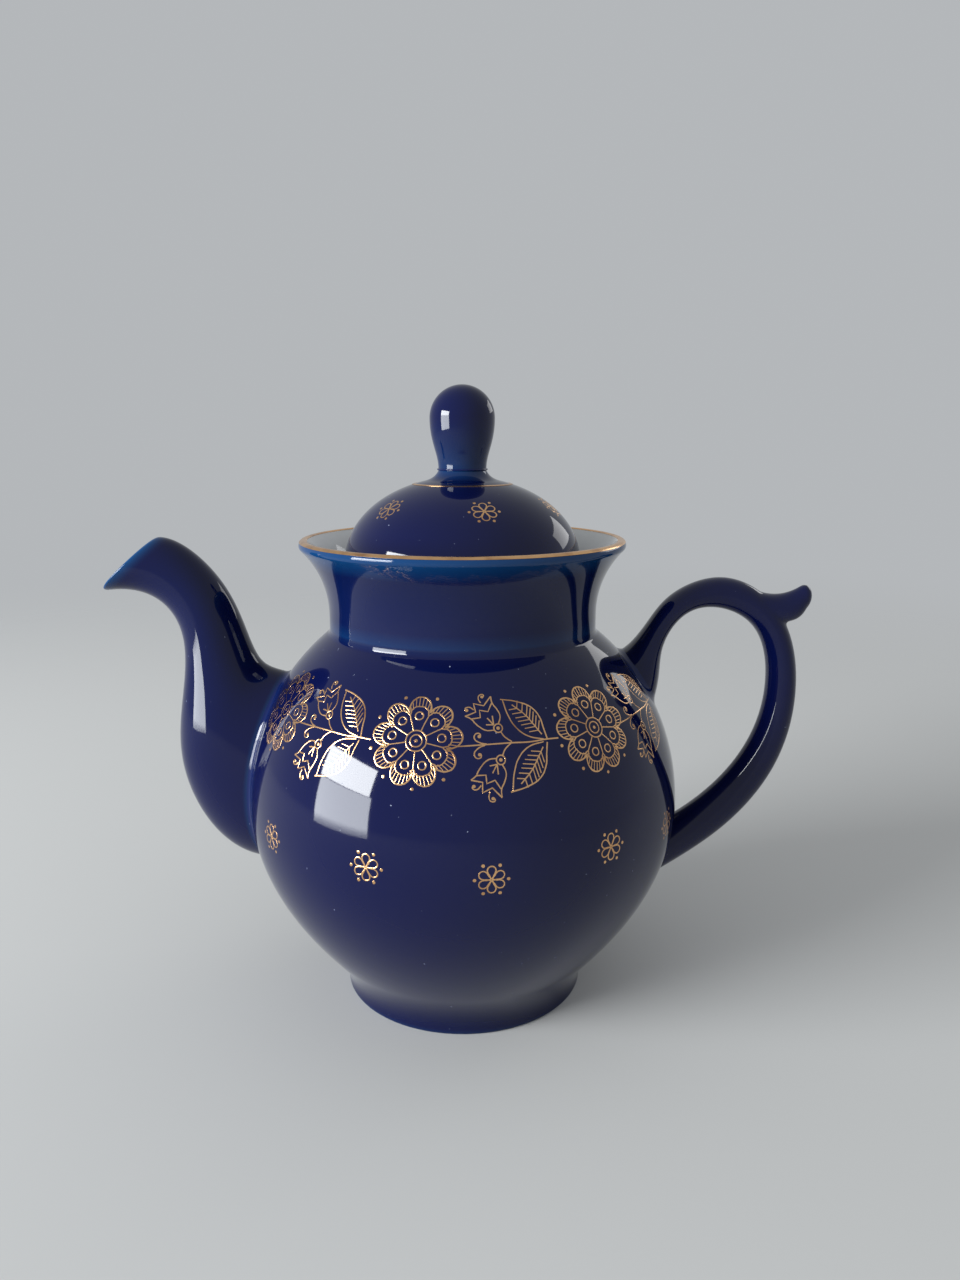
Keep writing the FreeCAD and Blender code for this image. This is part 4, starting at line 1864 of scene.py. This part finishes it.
class GoldPen:
    """Draws motifs in raised gold on a curved face of the pot."""

    LINE_WIDTH = 0.44
    LINE_HEIGHT = 0.04
    NIB_SIDES = 8
    DOT_RADIUS = 0.6
    DOT_SIDES = 12
    CREASE = 40.0
    LIFT = 3.0

    def __init__(self, gold: bpy.types.Material) -> None:
        """Builds the drawing tree.

        Args:
            gold: Finish of the lines.
        """
        self.gold = gold
        labels = {
            "Object": ("Strokes", "Dots", "Face", "Spots"),
            "Int": ("Turns",),
            "Float": ("Line Width", "Line Height", "Dot Radius"),
            "Material": ("Gold",),
        }
        tree = FormTree("gold_drawing", labels)
        self.tree = tree
        flat = self._flat_motif()
        turn = {"Euler": tree.named("turn", "FLOAT_VECTOR")}
        tilt = tree.add("FunctionNodeEulerToRotation", turn).outputs["Rotation"]
        sheet = tree.realized(tree.copies(tree.shape_of("Spots"), flat, Rotation=tilt))
        face = {"Geometry": tree.shape_of("Face")}
        near = tree.add("GeometryNodeProximity", face, target_element="FACES").outputs["Position"]
        out = tree.vector("NORMALIZE", tree.vector("SUBTRACT", tree.position(), near))
        rise = {0: out, "Scale": tree.named("proud")}
        proud = tree.add("ShaderNodeVectorMath", rise, operation="SCALE").outputs[0]
        laid = tree.moved(sheet, tree.vector("ADD", near, proud))
        tree.finish(tree.dressed(laid, tree.given["Gold"]))

    def _flat_motif(self) -> bpy.types.NodeSocket:
        """Adds the nodes that make the flat motif from strokes and dots, turned round its middle.

        Returns:
            The motif, with its height at each point under the name proud.
        """
        tree, given = self.tree, self.tree.given
        round_nib = {"Resolution": self.NIB_SIDES, "Radius": 1.0}
        nib = tree.add("GeometryNodeCurvePrimitiveCircle", round_nib).outputs["Curve"]
        half_width = tree.math("MULTIPLY", given["Line Width"], 0.5)
        flat_nib = {"Geometry": nib, "Scale": tree.xyz(half_width, given["Line Height"], 1.0)}
        line = {
            "Curve": tree.shape_of("Strokes"),
            "Profile Curve": tree.add("GeometryNodeTransform", flat_nib).outputs[0],
            "Scale": tree.add("GeometryNodeInputRadius").outputs[0],
            "Fill Caps": True,
        }
        ribbons = tree.add("GeometryNodeCurveToMesh", line).outputs["Mesh"]
        ball = {"Segments": self.DOT_SIDES, "Rings": self.DOT_SIDES // 2, "Radius": given["Dot Radius"]}
        bead = tree.add("GeometryNodeMeshUVSphere", ball).outputs["Mesh"]
        flat = tree.math("DIVIDE", given["Line Height"], given["Dot Radius"])
        beads = tree.copies(tree.shape_of("Dots"), bead, Scale=tree.xyz(1.0, 1.0, flat))
        both = tree.add("GeometryNodeJoinGeometry")
        for part in (beads, ribbons):
            tree.link(part, both.inputs[0])
        angle = tree.math("MULTIPLY", tree.math("DIVIDE", tree.index(), given["Turns"]), 2 * math.pi)
        hub = tree.add("GeometryNodePoints", {"Count": given["Turns"]}).outputs[0]
        whole = tree.realized(tree.copies(hub, both.outputs[0], Rotation=tree.turn(0.0, 0.0, angle)))
        height = tree.add("ShaderNodeSeparateXYZ", {0: tree.position()}).outputs["Z"]
        return tree.stored(whole, "proud", height)

    def draw(
        self, name: str, motif: Motif, spots: list[Spot], face: bpy.types.Object, body: Body, turns: int = 1
    ) -> bpy.types.Object:
        """Draws copies of a motif.

        Args:
            name: Name of the piece.
            motif: What is drawn.
            spots: Where it is drawn.
            face: Piece that it lies on.
            body: Body that the piece rides on.
            turns: How often the motif is repeated round its own middle.

        Returns:
            The gold lines as one piece.
        """
        strokes, dots = motif.sheets(name)
        marks = self.marks(name, spots)
        lines = self.tree.bake(
            name,
            {
                "Strokes": strokes,
                "Dots": dots,
                "Face": face,
                "Spots": marks,
                "Turns": turns,
                "Line Width": self.LINE_WIDTH * MM,
                "Line Height": self.LINE_HEIGHT * MM,
                "Dot Radius": self.DOT_RADIUS * MM,
                "Gold": self.gold,
            },
        )
        drop(strokes, dots, marks)
        return settle(smooth(lines, self.CREASE), body)

    def marks(self, name: str, spots: list[Spot]) -> bpy.types.Object:
        """Makes the spots a row of vertices that carry their turn.

        Args:
            name: Start of the name of the object.
            spots: The spots.

        Returns:
            The row of vertices.
        """
        mesh = bpy.data.meshes.new(name + "_spots")
        mesh.from_pydata([spot.place(self.LIFT) for spot in spots], [], [])
        layer = mesh.attributes.new("turn", "FLOAT_VECTOR", "POINT")
        layer.data.foreach_set("vector", np.array([spot.turn() for spot in spots], np.float32).ravel())
        return linked(name + "_spots", mesh)


@dataclass
class Ornament:
    """Gold ornament: rosettes and sprays round the shoulder, small flowers on belly and lid."""

    belly: Belly
    lid: Lid
    pen: GoldPen
    rosette_first: float = -61.7
    rosette_step: float = 50.4
    rosettes: int = 3
    petals: int = 9
    florets: int = 6
    sides: int = 2
    band_height: float = 124.0
    spray_height: float = 123.5
    flower_places: tuple[Point, ...] = (
        (-52.9, 81.5),
        (-21.3, 82.9),
        (7.1, 81.1),
        (37.2, 85.1),
        (63.5, 81.0),
    )
    lid_places: tuple[float, ...] = (-50.5, 14.0, 77.0, 135.0, 194.0, 252.0)
    lid_flower_radius: float = 34.0

    def on_belly(self, azimuth: float, height: float) -> list[Spot]:
        """A spot on the round of the belly, and the same on every other side.

        Args:
            azimuth: Angle round the pot in degrees.
            height: Height above the floor.

        Returns:
            One spot for each side.
        """
        rise = (height - self.belly.height) / self.belly.radius
        lean = math.asin(rise)
        turns = [math.radians(azimuth + 360.0 * side / self.sides) for side in range(self.sides)]
        return [Spot(turn, self.belly.radius * math.cos(lean), height, lean) for turn in turns]

    def row(self, first: float, height: float) -> list[Spot]:
        """Spots of the band round the shoulder, one rosette step apart."""
        steps = [first + self.rosette_step * index for index in range(self.rosettes)]
        return [spot for azimuth in steps for spot in self.on_belly(azimuth, height)]

    def build(self, vessel: bpy.types.Object, lid: bpy.types.Object) -> None:
        """Draws everything.

        Args:
            vessel: Finished body of the pot.
            lid: Finished lid.
        """
        band = self.row(self.rosette_first, self.band_height)
        self.pen.draw("rosette_petals", petal(), band, vessel, Body.POT, self.petals)
        self.pen.draw("rosette_eyes", rosette_eye(), band, vessel, Body.POT)
        stems = self.row(self.rosette_first + self.rosette_step / 2, self.spray_height)
        self.pen.draw("tulip_sprays", spray(), stems, vessel, Body.POT)
        scattered = [spot for place in self.flower_places for spot in self.on_belly(*place)]
        self.pen.draw("belly_flowers", floret(), scattered, vessel, Body.POT, self.florets)
        (radius, height), lean = self.lid.dome_at(self.lid_flower_radius)
        crown = [Spot(math.radians(azimuth), radius, height, lean) for azimuth in self.lid_places]
        self.pen.draw("lid_flowers", floret(), crown, lid, Body.LID, self.florets)


@dataclass(frozen=True)
class Softbox:
    """A soft lamp, placed by its direction from the pot."""

    name: str
    azimuth: float
    elevation: float
    distance: float
    width: float
    height: float
    glow: float
    tint: Colour = (1.0, 1.0, 1.0)
    aim_height: float = 0.1

    def build(self) -> None:
        """Puts the lamp in its place, facing the belly; glow is its brightness, where 1 is white."""
        aim = Vector((0.0, 0.0, self.aim_height))
        turn, tilt = math.radians(self.azimuth), math.radians(self.elevation)
        way = Vector((math.sin(turn) * math.cos(tilt), -math.cos(turn) * math.cos(tilt), math.sin(tilt)))
        lamp = bpy.data.lights.new(self.name, "AREA")
        lamp.shape = "RECTANGLE"
        lamp.size, lamp.size_y = self.width, self.height
        lamp.energy = self.glow * math.pi * self.width * self.height
        lamp.color = self.tint
        holder = linked(self.name, lamp)
        holder.location = aim + way * self.distance
        holder.rotation_euler = way.to_track_quat("Z", "Y").to_euler()


@dataclass
class Studio:
    """Floor, lamps, world and camera."""

    floor_radius: float = 2.0
    floor_sides: int = 96
    floor_colour: Colour = (0.6, 0.6, 0.59)
    fade_from: float = 0.35
    fade_to: float = 1.4
    lamps: tuple[Softbox, ...] = (
        Softbox("window", -63.0, 17.0, 2.4, 1.32, 0.54, 31.0, (0.95, 0.98, 1.0)),
        Softbox("lower_window", -62.0, 0.8, 2.4, 1.36, 0.8, 16.0, (0.93, 0.97, 1.0)),
        Softbox("back_window", 130.0, 20.0, 2.4, 1.1, 0.66, 2.2),
    )
    world_colour: Colour = (0.52, 0.54, 0.56)
    world_strength: float = 0.88
    camera_place: Point3 = (0.0067, -0.372, 0.2225)
    camera_pitch: float = 77.853
    lens: float = 27.0
    sensor: float = 36.0
    near_clip: float = 0.01

    def build(self) -> None:
        """Sets the stage."""
        form = bmesh.new()
        bmesh.ops.create_circle(form, cap_ends=True, segments=self.floor_sides, radius=self.floor_radius)
        mesh = bpy.data.meshes.new("floor")
        form.to_mesh(mesh)
        form.free()
        mesh.materials.append(self.floor())
        linked("floor", mesh)
        for lamp in self.lamps:
            lamp.build()
        world = bpy.data.worlds.new("room")
        world.use_nodes = True
        air = world.node_tree.nodes["Background"]
        air.inputs["Color"].default_value = (*self.world_colour, 1.0)
        air.inputs["Strength"].default_value = self.world_strength
        bpy.context.scene.world = world
        self.camera()

    def floor(self) -> bpy.types.Material:
        """Pale dull floor that fades into the room around it.

        Returns:
            The material.
        """
        made, nodes, skin = begun("pale_floor")
        skin.inputs["Base Color"].default_value = (*self.floor_colour, 1.0)
        skin.inputs["Roughness"].default_value = 1.0
        skin.inputs["Specular IOR Level"].default_value = 0.0
        away = nodes.add("ShaderNodeVectorMath", {0: nodes.place()}, operation="LENGTH").outputs["Value"]
        fade = nodes.ramp(away, self.fade_from, self.fade_to, interpolation_type="SMOOTHSTEP")
        clear = nodes.add("ShaderNodeBsdfTransparent").outputs[0]
        both = nodes.add("ShaderNodeMixShader", {0: fade, 1: skin.outputs[0], 2: clear}).outputs[0]
        nodes.link(both, made.node_tree.nodes["Material Output"].inputs["Surface"])
        return made

    def camera(self) -> None:
        """Puts the camera where the pot is looked at from."""
        data = bpy.data.cameras.new("camera")
        data.lens = self.lens
        data.sensor_width = self.sensor
        data.clip_start = self.near_clip
        holder = linked("camera", data)
        holder.location = self.camera_place
        holder.rotation_euler = (math.radians(self.camera_pitch), 0.0, 0.0)
        bpy.context.scene.camera = holder
        bpy.context.scene.view_settings.view_transform = "Standard"


def main() -> None:
    """Builds the pot piece by piece and sets the stage."""
    logging.basicConfig(level=logging.INFO, format="%(name)s: %(message)s")
    belly = Belly()
    wheel = Wheel()
    finishes = Finishes()
    vessel = Vessel(belly, wheel, finishes)
    lid = Lid(vessel, wheel, finishes)
    body = vessel.build()[0]
    dome = lid.build()[0]
    Spout(belly, finishes).build()
    Handle(belly, finishes).build()
    Ornament(belly, lid, GoldPen(finishes.gold)).build(body, dome)
    Studio().build()


if __name__ == "__main__":
    main()
